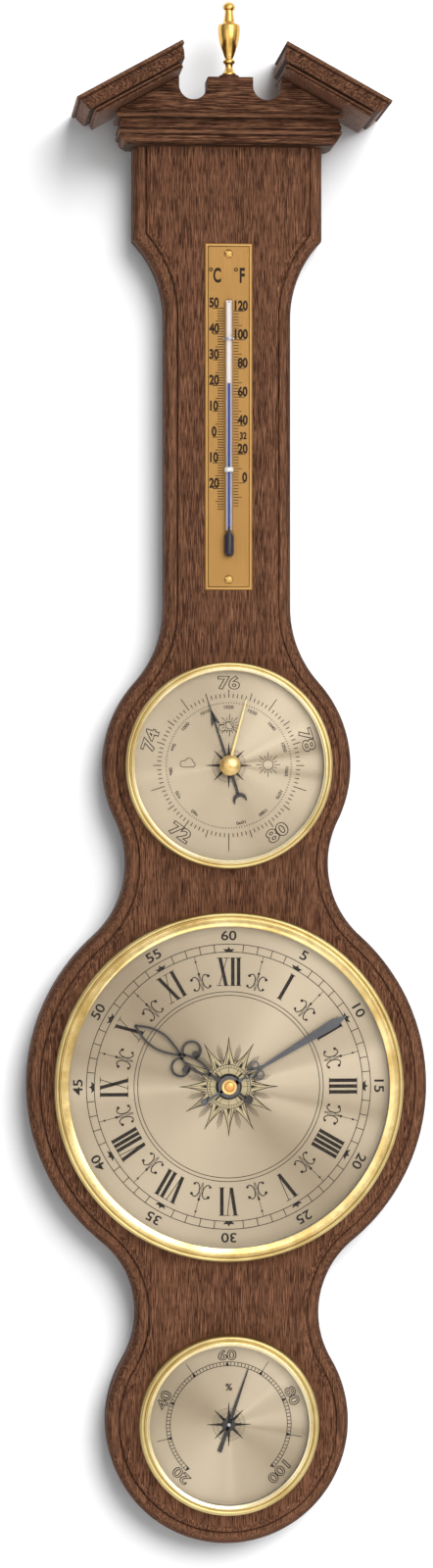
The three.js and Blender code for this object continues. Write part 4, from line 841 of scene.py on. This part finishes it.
def make_tube():
    low, high, radius = TUBE.bottom, TUBE.top, TUBE.radius
    stem, bore, neck = 1.7, 0.6, low + 12.9
    outside = [
        (bore, low), (1.0, low), *arc(0, low + 2.4, radius, 2.4, -65, 0, 6),
        (radius, neck - 2.4), *arc(0, neck - 2.4, radius, 2.2, 0, 40, 4)[1:],
        (stem, neck), (stem, high - 1.6), *arc(0, high - 1.6, stem, 1.6, 0, 80, 5), (0, high),
    ]
    inside = [(0, high - 1.2), (1.1, high - 2.0), (1.1, neck - 0.2), (radius - 0.1, neck - 2.6),
              (radius - 0.1, low + 1.6), (bore, low + 0.2), (bore, low)]
    liquid, fill, thread = Spot("thermometer_liquid"), radius - 0.15, bore + 0.05
    column = [(0, neck - 2), (bore, neck - 2), (bore, liquid.top - 0.3), (0, liquid.top)]
    bulb = [(0, liquid.bottom), *arc(0, liquid.bottom + 1.4, fill, 1.4, -80, 0, 6), (fill, neck - 3),
            (thread, neck - 0.2), (thread, neck + 2), (0, neck + 2)]
    for name, profile, segments, finish, node in (
            ("stem_and_bulb", outside + inside, 40, "tube_glass", "thermometer_tube"),
            ("blue_column", column, 24, "blue_liquid", None),
            ("bulb_filling", bulb, 32, "bulb_liquid", "thermometer_liquid")):
        placed(turned(name, profile, segments), finish, node, upright=TUBE.depth)
    # White enamel behind the bore, drawn into the glass
    back = drawn("tube_backing", arc(0, 0, stem - 0.06, stem - 0.06, 25, 155, 14), neck + 0.4, high - 0.9)
    placed(back, "tube_enamel", upright=TUBE.depth)


def make_clips():
    rise, strip = TUBE.depth - PLATE.front, 0.35
    for node, finish, width, inner, foot in (("tube_clip_upper", "spring_steel", 1.0, 1.85, 0.5),
                                             ("tube_clip_lower", "clip_plastic", 2.2, 1.75, 0.05)):
        outer = inner + 0.3
        side = [(-outer - foot, 0), (-inner, 0), *arc(0, rise, inner, inner, 180, 0, 18), (inner, 0),
                (outer + foot, 0), (outer + foot, strip), (outer, strip), *arc(0, rise, outer, outer, 0, 180, 18),
                (-outer, strip), (-outer - foot, strip)]
        strap = drawn(node + "_strap", side, -width / 2, width / 2)
        moved(strap, 0, Spot(node).y, PLATE.front, -90, "X")
        placed(softened(strap, 0.08), finish, node)


def make_plate_screw(end, clockwise):
    """A slotted round head, domed."""
    node = f"plate_screw_{end}"
    spot = Spot(node)
    radius, seat, top = spot.radius, PLATE.front, spot.front
    shank, slot = 1.1, 0.28
    head = turned(f"{end}_plate_screw", [(0, spot.back), (shank, spot.back + 2), (shank, seat), (radius, seat),
                                         *arc(0, seat, radius, top - seat, 8, 84, 10), (0, top)])
    carved(head, spun_to(slab("slot", -radius - 1, radius + 1, -slot, slot, top - 0.6, top + 1), clockwise))
    placed(head, "screw_brass", node, at=(spot.x, spot.y))


def make_thermometer():
    make_plate()
    print_scales()
    make_tube()
    make_clips()
    make_plate_screw("upper", 38)
    make_plate_screw("lower", 24)


# Round instruments


def make_bezel(unit, band, lip):
    """A brass ring of one metal in two colours: a domed outer band, darker as painted shade for its darker
    reflections, a fine groove, and an inner lip that slopes to the glass, paler as a painted highlight."""
    board, outer, crest = unit.bezel.back, unit.bezel.radius, unit.bezel.front
    glass, opening = unit.glass.front, unit.opening
    skirt, wall, floor = outer - 1.05, unit.glass.radius + 0.4, unit.face.back + 0.3
    groove, half = outer - band, band / 2
    inner, foot = groove - 0.02, glass + 0.02
    band_profile = [
        (skirt, board), (outer - 0.15, board), (outer, board + 0.2), (outer, crest - 2.9),
        (outer - 0.1, crest - 2.2), *arc(outer - half, crest - 2.1, half * 0.9, 1.5, 25, 150, 12),
        (groove, crest - 1.35), (groove, floor), (skirt, floor), (skirt, board),
    ]
    lip_profile = [
        (opening, foot), (wall, foot), (wall, floor), (inner, floor), (inner, crest - 1.3),
        (groove - 0.2, crest - 0.5), *arc(groove - 0.65, crest - 0.3, 0.4, 0.3, 20, 90, 5),
        (opening + 0.45, glass + 0.34), (opening + 0.15, glass + 0.24), (opening, glass + 0.1), (opening, foot),
    ]
    for part, profile, finish in (("ring", band_profile, "bezel_brass"), ("lip", lip_profile, lip)):
        unit.put(turned(f"{unit.name}_{part}", profile, ROUND), finish, unit.name + "_bezel", smooth=24)


def make_glass(unit, hole):
    low, high, radius = unit.glass.back, unit.glass.front, unit.glass.radius
    profile = [(hole, low), (radius, low), (radius, high - 0.4), (radius - 0.4, high), (hole, high)]
    if hole:
        profile.append((hole, low))
    unit.put(turned(unit.name + "_pane", profile, ROUND), "clear_glass", unit.name + "_glass")


def make_dial(unit, hole):
    face = unit.face
    piece = tube(unit.name + "_face", hole, face.radius, face.back, face.front, ROUND)
    unit.put(piece, unit.name + "_dial", unit.name + "_dial")


def make_pan(unit, holes):
    """The pressed pan in the board. One with holes is closed, with a rounded floor."""
    board, dial, glass, rear = unit.bezel.back, unit.face.back, unit.glass.back, unit.case.back
    wall, rim = unit.glass.radius + 0.1, unit.opening + 0.4
    ledge, flange = unit.face.radius - 1.1, unit.bezel.radius - 1.35
    profile = [(wall, board), (flange, board), (flange, dial), (wall, dial), (wall, glass), (rim, glass),
               (rim, dial), (ledge, dial)]
    if holes:
        bend = 2.4
        profile = [(0, rear), *arc(wall - bend, rear + bend, bend, bend, -90, 0, 8), *profile,
                   *arc(ledge - bend, rear + 1 + bend, bend, bend, 0, -90, 6), (0, rear + 1)]
    else:
        profile = [(ledge, rear), (wall, rear), *profile, (ledge, rear)]
    pan = turned(unit.name + "_pan", profile, ROUND)
    for x, y, radius in holes:
        carved(pan, moved(rod("drill", radius, rear - 2, rear + 3, 32), x, y))
    unit.put(pan, "plated_steel", unit.name + "_case")


def make_housing(unit, band, dial_hole, glass_hole=0, pan_holes=(), lip="polished_brass"):
    make_bezel(unit, band, lip)
    make_glass(unit, glass_hole)
    make_dial(unit, dial_hole)
    make_pan(unit, pan_holes)


def compass(unit, long, short, hub):
    """A black star of eight thin rays over a grey disc of fine rays."""
    ink = unit.ink
    ground = Layer(ink.back, ink.front - 0.02)
    rays = [repeated(ink.shape([(-0.75, hub), (0.75, hub), (0.12, length), (-0.12, length)]), 4, turn)
            for length, turn in ((long, 0), (long * 0.92, 45))]
    rays.append(rod("hub", hub, ink.back, ink.front))
    unit.printed(unit.name + "_star", rays)
    fine = ground.shape([(-0.1, hub), (0.1, hub), (0.1, short), (-0.1, short)])
    rays = [repeated(fine, 48), ground.ring(short, 0.2), ground.ring(short * 0.72, 0.18)]
    unit.printed(unit.name + "_star_ground", rays, "grey_ink")


# Barometer


def make_sun(ink, x, y, radius):
    """A plain ring with sixteen short rays."""
    foot = radius + 0.6
    long, short = ink.tick(foot, radius + 3.6, 0.34), ink.tick(foot, radius + 2.2, 0.3)
    return moved(joined("sun", ink.ring(radius, 0.34, 48), repeated(long, 8), repeated(short, 8, 22.5)), x, y)


def make_cloud(ink, x, y):
    line = arc(-2.0, 0.2, 1.6, 1.6, 250, 60, 12) + arc(0.8, 1.0, 2.0, 2.0, 140, 0, 12)
    line += arc(2.6, -0.2, 1.2, 1.2, 60, -90, 8) + [(2.0, -1.4), (-2.4, -1.4)]
    return moved(ink.ribbon(line, 0.34), x, y)


def print_barometer():
    ink, start = BAROMETER.ink, -144
    marks = [repeated(ink.tick(inner, outer, width), count, turn) for inner, outer, width, count, turn in (
        (33.3, 35.3, 0.42, 100, 0), (33.3, 37.2, 0.42, 20, 0), (33.3, 40.2, 0.4, 5, 36),
        (33.3, 42.2, 0.4, 1, 180), (30.5, 31.2, 0.36, 150, 0))]
    for i in range(5):
        angle = start + 72 * i
        upright = angle if abs(angle) < 90 else angle + 180
        marks.append(ink.figures(str(72 + 2 * i), 7.0, *around(40.7, angle), 1.3, 0.3, 0.46, upright))
    for i in range(14):
        angle = start + 24 * i
        marks.append(ink.figures(str(960 + 10 * i), 1.7, *around(28.7, angle), 1.15, 0.06, 0, angle))
    marks += [make_sun(ink, 19.4, 0.4, 2.5), make_sun(ink, 0.4, 19.8, 1.9),
              make_cloud(ink, -20.4, 0.6), make_cloud(ink, -1.4, 18.4)]
    BAROMETER.printed("barometer_print", marks)
    compass(BAROMETER, 11.2, 8.2, 4.0)


def make_barometer():
    make_housing(BAROMETER, 2.5, 1.3, 1.7, [(0, 13, 1.9)])
    print_barometer()
    flat = Spot("barometer_pointer")
    needle = joined(
        "needle",
        flat.ribbon([(0, 0), (0, 33.2)], (1.5, 0.4)),
        flat.shape([(-2.3, 20.6), (0, 22.8), (2.3, 20.6), (0.25, 28.6), (-0.25, 28.6)]),
        flat.ribbon([(0, 0), (0, -15.4)], (1.9, 1.3)),
        flat.shape(arc(0, -17.6, 3.4, 3.4, 200, -20, 24) + arc(0, -19.0, 2.75, 2.75, -4, 184, 20)),
        flat.eye(0.92, 2.8))
    BAROMETER.put(needle, "black_enamel", "barometer_pointer", "barometer_needle", -18)
    flat = Spot("set_hand")
    blade = joined("blade", flat.ribbon([(0, 0), (0, 33.6)], (1.35, 0.5)), flat.eye(1.35, 3))
    BAROMETER.put(blade, "bezel_brass", "set_hand", "set_marker", 14.7)
    knob = Spot("set_knob")
    foot, radius, stem = BAROMETER.glass.front + 0.4, knob.radius, 1.3
    profile = [(0, knob.back), (stem, knob.back), (stem, foot), (radius * 0.72, foot), (radius * 0.62, foot + 0.5),
               (radius * 0.62, foot + 1.1), (radius * 0.9, foot + 1.6), (radius, foot + 2.0), (radius, foot + 3.0),
               *flowing([(radius * 0.97, foot + 3.4), (radius * 0.8, foot + 4.3), (radius * 0.45, foot + 5.05),
                         (0, knob.front)])]
    BAROMETER.put(turned("knob", profile), "knob_brass", "set_knob", "set_marker")


# Clock

NUMERALS = ["XII", "I", "II", "III", "IIII", "V", "VI", "VII", "VIII", "IX", "X", "XI"]
NUMERAL_INNER, NUMERAL_OUTER = 49.7, 63.3
NUMERAL_WIDTHS = {"I": 3.1, "V": 6.9, "X": 7.4}
THICK, THIN, SERIF = 1.75, 0.38, 0.34
TRACK_INNER, TRACK_OUTER = 66.2, 70.1


def roman(ink, text):
    """A Roman numeral pointing up, its strokes broad one way and fine the other."""
    bottom, top = NUMERAL_INNER, NUMERAL_OUTER
    # Long numerals are set closer, as on a real dial
    tight = {4: 0.80, 3: 0.92}.get(len(text), 1)
    parts = []

    def serif(x, y, half):
        parts.append(ink.bar(x - half, x + half, y - SERIF / 2, y + SERIF / 2))

    def stem(x0, x1, thick):
        half = thick / 2
        parts.append(ink.shape([(x0 - half, bottom), (x0 + half, bottom), (x1 + half, top), (x1 - half, top)]))

    left = -sum(NUMERAL_WIDTHS[letter] for letter in text) * tight / 2
    for letter in text:
        width = NUMERAL_WIDTHS[letter] * tight
        right, middle = left + width, left + width / 2
        if letter == "I":
            stem(middle, middle, THICK)
            for y in (bottom, top):
                serif(middle, y, width / 2 - 0.125)
        elif letter == "V":
            stem(middle + 0.35, left + 1.7, THICK)
            stem(middle + 0.75, right - 1.2, THIN)
            serif(left + 1.7, top, 1.5)
            serif(right - 1.2, top, 1.3)
        else:
            stem(right - 1.9, left + 1.9, THICK)
            stem(left + 1.5, right - 1.5, THIN)
            for y in (bottom, top):
                serif(left + 1.7, y, 1.4)
                serif(right - 1.7, y, 1.4)
        left = right
    return joined("numeral", *parts)


def crown(ink):
    """A three-pointed mark on the inner circle of the minute track."""
    foot = TRACK_INNER + 0.1
    half = [(2.9, 1.5), (1.2, 1.2), (0.35, 1.7)]
    outline = [(-1.6, 0), (1.6, 0), *half, (0, 2.8), *sided(-1, half[::-1])]
    return ink.shape([(x, foot + y) for x, y in outline])


def fleur(ink):
    """The half-hour ornament: a stem with two lozenges, between two curls back to back."""
    parts = [ink.tick(48.6, 66, 0.26)]
    for y, size in ((63.4, 0.75), (57.3, 0.95)):
        parts.append(ink.shape([(0, y - size), (size * 0.8, y), (0, y + size), (-size * 0.8, y)]))
    for side in (-1, 1):
        scroll = sided(side, [(4.3, 55.6), (2.5, 56.4), (1.2, 55.0), (0.9, 53.0), (1.3, 50.9), (2.6, 49.5),
                              (4.0, 49.9)])
        inner = sided(side, [(0.2, 57.0), (0.75, 53.0), (0.3, 49.0)])
        parts += [ink.ribbon(flowing(scroll), 0.52), ink.dot(side * 4.25, 55.3, 0.72, 16),
                  ink.dot(side * 3.95, 50.2, 0.62, 16), ink.ribbon(inner, 0.2)]
    return joined("fleur", *parts)


def make_star(ink):
    """The dial's centre: twelve half-shaded points, finer grey rays and a beaded ring of spokes."""
    tip, foot, spread = 24.3, 11.2, 2.75
    hub_inner, hub_outer = 5.5, 10.6
    ray_layer, point_layer, notch_layer = (
        Layer(ink.back, front) for front in (ink.back + 0.02, ink.back + 0.03, ink.front - 0.01))

    def edge(side, reach=1.0):
        return [(side * spread * reach * (1 - t / 8) ** 1.6, foot + (tip - foot) * t / 8) for t in range(9)]

    fans = []
    for lean in (-2.4, -1.2, 0, 1.2, 2.4):
        end = 21.5 - abs(lean)
        fan = ray_layer.shape([(-0.2, 12.5), (0.2, 12.5), (0.12, end), (-0.12, end)])
        fans.append(repeated(fan, 12, 15 + lean * 1.5))
    CLOCK.printed("star_small_rays", fans, "grey_ink")
    pale = point_layer.shape(edge(-1) + edge(1)[::-1])
    disc = ray_layer.ring((hub_inner + hub_outer) / 2, hub_outer - hub_inner)
    CLOCK.printed("star_pale", [repeated(pale, 12), disc], "pale_ink")
    lines = [(edge(-1), (0.5, 0.3)), (edge(1), (0.5, 0.3)), (edge(-1, 0.55)[:7], (0.4, 0.2)),
             (edge(1, 0.3)[:6], (0.3, 0.16))]
    dark = [repeated(ink.ribbon(*line), 12) for line in lines] + [
        repeated(notch_layer.shape([(-0.75, 11.0), (0.75, 11.0), (0, 14.4)]), 12),
        repeated(ink.dot(0, 9.9, 0.3, 10), 48),
        repeated(ink.tick(6.6, 9.3, 0.8), 4, 45), repeated(ink.tick(6.6, 9.2, 0.22), 12),
        ink.ring(10.75, 0.34), ink.ring(9.25, 0.26), ink.ring(5.6, 1.7),
    ]
    CLOCK.printed("star_dark", dark)


def print_clock():
    ink = CLOCK.ink
    marks = [ink.ring(radius, width) for radius, width in (
        (TRACK_INNER, 0.38), (TRACK_OUTER, 0.38), (44.9, 0.36), (46.7, 0.36))]
    for minute in range(1, 5):
        marks.append(repeated(ink.tick(TRACK_INNER, TRACK_OUTER, 0.38), 12, minute * 6))
    marks += [repeated(crown(ink), 12), repeated(fleur(ink), 12, 15)]
    for hour, text in enumerate(NUMERALS):
        angle = hour * 30
        marks.append(spun_to(roman(ink, text), angle))
        marks.append(ink.figures(str(hour * 5 or 60), 4.8, *around(74.3, angle), 1.22, 0.1, 0, angle))
    CLOCK.printed("clock_print", marks)
    make_star(ink)


def curl(hand, side, x, y, radius, width, ball):
    """A scroll that leaves the stem, turns outwards and ends in a ball."""
    line = sided(side, arc(x, y, radius, radius, 165, -125, 30))
    return [hand.ribbon(line, (width * 0.8, width)), hand.dot(side * (x - 0.5), y - radius * 0.62, ball)]


def make_hands():
    hand = Spot("hour_hand")
    parts = [hand.eye(2.7, 5.4), hand.ribbon([(0, 3), (0, 12)], (3.0, 1.5)),
             hand.ribbon([(0, -3), (0, -10)], (1.8, 1.2)), hand.dot(0, -11.4, 2.3, 32)]
    for side in (-1, 1):
        lens = flowing(sided(side, [(0, 11), (1.9, 15), (2.6, 20), (1.8, 25.2), (0, 29.8)]), 6)
        leaf = flowing(sided(side, [(0, 28.6), (2.0, 33), (3.95, 40.5), (3.1, 48.2), (0, 55.4)]), 6)
        parts += [hand.ribbon(lens, 1.2), hand.ribbon(leaf, 1.15), *curl(hand, side, 4.9, 25.3, 4.4, 1.3, 1.7)]
    CLOCK.put(joined("hour_hand_scrolled", *parts), "black_enamel", "hour_hand", "hour_train", -56.7)
    hand = Spot("minute_hand")
    parts = [hand.eye(1.8, 5.4), hand.shape([(-0.6, 16.4), (0.6, 16.4), (2.35, 60.9), (0, 67.9), (-2.35, 60.9)]),
             hand.ribbon([(0, 3), (0, 9)], (2.6, 0.9)), hand.ribbon([(0, -3), (0, -13)], (1.5, 0.9)),
             hand.dot(0, -14.2, 1.8, 32)]
    for side in (-1, 1):
        lens = flowing(sided(side, [(0, 8.6), (1.5, 11.6), (1.1, 14.6), (0, 17)]), 5)
        parts += [hand.ribbon(lens, 0.75), *curl(hand, side, 2.6, 15.9, 2.1, 0.8, 0.85)]
    CLOCK.put(joined("minute_hand_scrolled", *parts), "grey_enamel", "minute_hand", "minute_train", 59)


def make_minute_nut():
    nut, bore = Spot("minute_nut"), 1.8
    radius, foot, top = nut.radius, nut.back, nut.front
    rim, seat = radius * 0.64, foot + 0.45
    collar = [(bore, foot), (radius, foot), (radius, foot + 0.35), (radius - 0.25, foot + 0.6), (rim, seat + 0.1),
              (rim, seat), (bore, seat), (bore, foot)]
    CLOCK.put(turned("minute_cap", collar), "knob_brass", "minute_nut", "minute_train")
    inner = rim - 0.02
    dome = [(0, seat + 0.02), (inner, seat + 0.02),
            *arc(0, seat + 0.05, inner, top - seat - 0.05, 4, 84, 10), (0, top)]
    CLOCK.put(turned("minute_cap_dome", dome), "cap_brass", body="minute_train")


def make_clock():
    make_housing(CLOCK, 2.7, 4.1, lip="clock_lip_brass")
    print_clock()
    make_hands()
    make_minute_nut()


# Hygrometer


def print_hygrometer():
    ink = HYGROMETER.ink
    start, span = -136.6, 270.4
    inner, outer = 28.9, 30.8
    marks = [ink.ribbon([around(radius, start + span * i / 120) for i in range(121)], 0.32)
             for radius in (inner, outer)]
    marks.append(repeated(ink.tick(inner, outer, 0.34), 81, start, span))
    for i in range(9):
        angle = start + span * i / 8
        marks.append(spun_to(ink.shape([(-1.0, inner), (1.0, inner), (0, outer + 0.4)]), angle))
        if i % 2:
            marks.append(spun_to(ink.tick(outer, 36.4, 0.32), angle))
        else:
            marks.append(ink.figures(str(20 + 10 * i), 5.4, *around(34.2, angle), 1.35, 0.1, 0.44, angle))
    marks.append(ink.figures("%", 3.6, 0, 18.4, 1.0, 0.12))
    HYGROMETER.printed("hygrometer_print", marks)
    compass(HYGROMETER, 10.8, 8.0, 3.2)


def make_hygrometer():
    vents = [(*around(26, 60 * i + 30), 2.5) for i in range(6)]
    make_housing(HYGROMETER, 3.1, 1.2, pan_holes=[(0, 0, 1.9), *vents])
    print_hygrometer()
    flat = Spot("hygrometer_pointer")
    needle = joined("hygrometer_needle_blade", flat.ribbon([(0, 0), (0, 29.2)], (2.0, 0.5)),
                    flat.ribbon([(0, 0), (0, -14.1)], (1.5, 2.2)), flat.eye(0.85, 3.2))
    HYGROMETER.put(needle, "black_enamel", "hygrometer_pointer", "hygrometer_needle", 19.2)


# Back of the board


def make_cell():
    """A bare AA cell with a raised button."""
    cell = Spot("battery")
    radius = (cell.front - cell.back) / 2
    left, right, shoulder, bend = cell.left, cell.right, cell.right - 1.2, 0.8
    profile = [(0, left), (radius - 1.2, left), *arc(radius - bend, left + bend, bend, bend, -90, 0, 5),
               (radius, left + 9), (radius, shoulder - bend),
               *arc(radius - bend, shoulder - bend, bend, bend, 0, 90, 5),
               (2.7, shoulder), (2.7, right - 0.3), (2.4, right), (0, right)]
    jacket = moved(turned("cell_body", profile), 0, cell.y, cell.depth, -90, "Y")
    placed(jacket, "cell_jacket", "battery", "cell")


def make_stud(node, instrument):
    """A slotted adjusting stud, seen from the back."""
    stud = Spot(node)
    head, tip, shank, radius = stud.back, stud.front, 1.5, 3.0
    profile = [(0, head), (radius - 0.3, head), (radius, head + 0.3), (radius, head + 1.1), (shank, head + 1.1),
               (shank, tip), (0, tip)]
    screw = carved(turned(f"{instrument}_stud", profile), slab("slot", -4, 4, -0.3, 0.3, head - 1, head + 0.6))
    placed(screw, "movement_brass", node, f"{instrument}_screw", (stud.x, stud.y))


def make_knob():
    knob = Spot("setting_knob")
    scallops = [around(5 - 0.35 * (i % 4 > 1), i * 7.5) for i in range(48)]
    body = softened(drawn("finger_knob", scallops, knob.back, knob.front), 0.25)
    carved(body, rod("bore", 1.5, knob.back - 1, knob.front + 1, 32))
    placed(body, "black_plastic", "setting_knob", "setting_train", (knob.x, knob.y))


# Camera, lamps and stage, in metres

MIDDLE = -0.29  # height of the object's middle


def aimed(name, data, place, x=0):
    """A camera or lamp, aimed at the object's middle or at a point x beside it."""
    thing = bpy.data.objects.new(name, data)
    bpy.context.scene.collection.objects.link(thing)
    thing.location = place
    way = Vector((x, 0, MIDDLE)) - thing.location
    thing.rotation_euler = way.to_track_quat("-Z", "Y").to_euler()
    return thing


def make_camera():
    data = bpy.data.cameras.new("camera")
    data.lens = 102.05
    data.sensor_width = 36
    bpy.context.scene.camera = aimed("camera", data, (-0.175, -2.2, MIDDLE), -0.0044)


def make_lamp(name, kind, place, energy, colour=(1, 1, 1), only=None, **settings):
    """A lamp that lights everything, or only one thing."""
    data = bpy.data.lights.new(name, kind)
    data.energy = energy
    data.color = colour
    for setting, value in settings.items():
        setattr(data, setting, value)
    lamp = aimed(name, data, place)
    if only:
        lit = bpy.data.collections.new(name + "_lights")
        lit.objects.link(only)
        lamp.light_linking.receiver_collection = lit


def make_sheet(name, size, place, turn, finish):
    sheet = added(name, bpy.ops.mesh.primitive_plane_add, size=size, location=place, rotation=(turn, 0, 0))
    sheet.data.materials.append(finish.material)
    return sheet


def make_stage():
    wall = Finish("wall_paint", Base_Color=(0.5, 0.503, 0.512, 1), Roughness=0.9)
    # The wall can't be seen from behind, and the lamp behind it lights the object's back
    hidden = wall.node("ShaderNodeNewGeometry", output="Backfacing") + wall.node(
        "ShaderNodeLightPath", output="Is Shadow Ray")
    shown = wall.node("ShaderNodeMixShader", {0: hidden.math("MINIMUM", 1), 1: Wire(wall, wall.shader.outputs[0]),
                                              2: wall.node("ShaderNodeBsdfTransparent")})
    wall.feed(wall.tree.nodes["Material Output"].inputs["Surface"], shown)
    floor = Finish("floor_paint", Base_Color=(0.84, 0.84, 0.83, 1), Roughness=0.8)
    sheet = make_sheet("wall", 5, (0, 0.0015, -0.1), math.pi / 2, wall)
    make_sheet("floor", 8, (0, 0, -1.3), 0, floor)
    return sheet


def make_world():
    """White to the camera, a soft sky for plain light, and a broad bright front for reflections."""
    world = bpy.data.worlds.new("room")
    bpy.context.scene.world = world
    world.use_nodes = True
    room = Shading(world.node_tree)
    way = room.node("ShaderNodeTexCoord", output="Generated")
    sky = room.ease(room.axis(way, "Z"), -0.5, 0.7) * 0.34 + 0.2
    front = room.ease(room.dot(way, (0.2, -0.93, 0.3)), 0.1, 0.95) * 0.66 + 0.2
    for direction, edge, lift in (((-0.62, -0.62, -0.48), 0.84, 0.3), ((0.75, -0.5, 0.43), 0.86, 0.35)):
        front = front + room.ease(room.dot(way, direction), edge, 0.97) * lift
    glossy, camera, transmission = (room.node("ShaderNodeLightPath", output=f"Is {ray} Ray")
                                    for ray in ("Glossy", "Camera", "Transmission"))
    strength = sky + (front - sky) * glossy
    strength = strength + (1.0 - strength) * (camera + transmission).math("MINIMUM", 1)
    background = world.node_tree.nodes["Background"]
    background.inputs["Color"].default_value = (1, 1, 1, 1)
    room.feed(background.inputs["Strength"], strength)


def make_room():
    make_camera()
    wall = make_stage()
    make_lamp("key", "AREA", (0.8, -2.3, 0.5), 32, (1, 0.985, 0.96), size=1.7)
    make_lamp("fill", "AREA", (-0.9, -2.4, -0.5), 5, size=1.6)
    make_lamp("bounce", "AREA", (0.5, -1.7, -1.5), 8, shape="RECTANGLE", size=1.6, size_y=1.0)
    make_lamp("back_fill", "AREA", (0.15, 2.2, -0.1), 34, size=1.4)
    make_lamp("backdrop_sun", "SUN", (1.35, -2, 1.35), 6.55, only=wall, angle=math.radians(50))
    make_world()
    bpy.context.scene.view_settings.view_transform = "Standard"


# Everything together

CAD_FINISHES = {
    "plated_steel": ["hanger_plate", "hanger_screw_upper", "hanger_screw_lower"],
    "movement_brass": ["barometer_frame", "barometer_rocker", "dial_nut", "hygrometer_frame"],
    "capsule_metal": ["aneroid_capsule"],
    "spring_steel": ["leaf_spring", "barometer_arbor", "battery_contact_negative", "battery_contact_positive",
                     "hygrometer_arbor"],
    "strip_metal": ["humidity_strip"],
    "black_plastic": ["movement_case", "movement_cover"],
    "wheel_plastic": ["hour_wheel", "minute_arbor", "setting_shaft"],
    "copper_winding": ["drive_coil"],
    "circuit_laminate": ["circuit_board"],
}

make_room()
make_board()
make_cornice()
make_tympanum()
make_rake(-1, "left")
make_rake(1, "right")
make_finial()
make_thermometer()
make_barometer()
make_clock()
make_hygrometer()
make_cell()
make_stud("barometer_adjusting_screw", "barometer")
make_stud("hygrometer_adjuster", "hygrometer")
make_knob()
for finish, nodes in CAD_FINISHES.items():
    for node in nodes:
        for material_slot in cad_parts[node].material_slots:
            material_slot.material = finishes[finish]
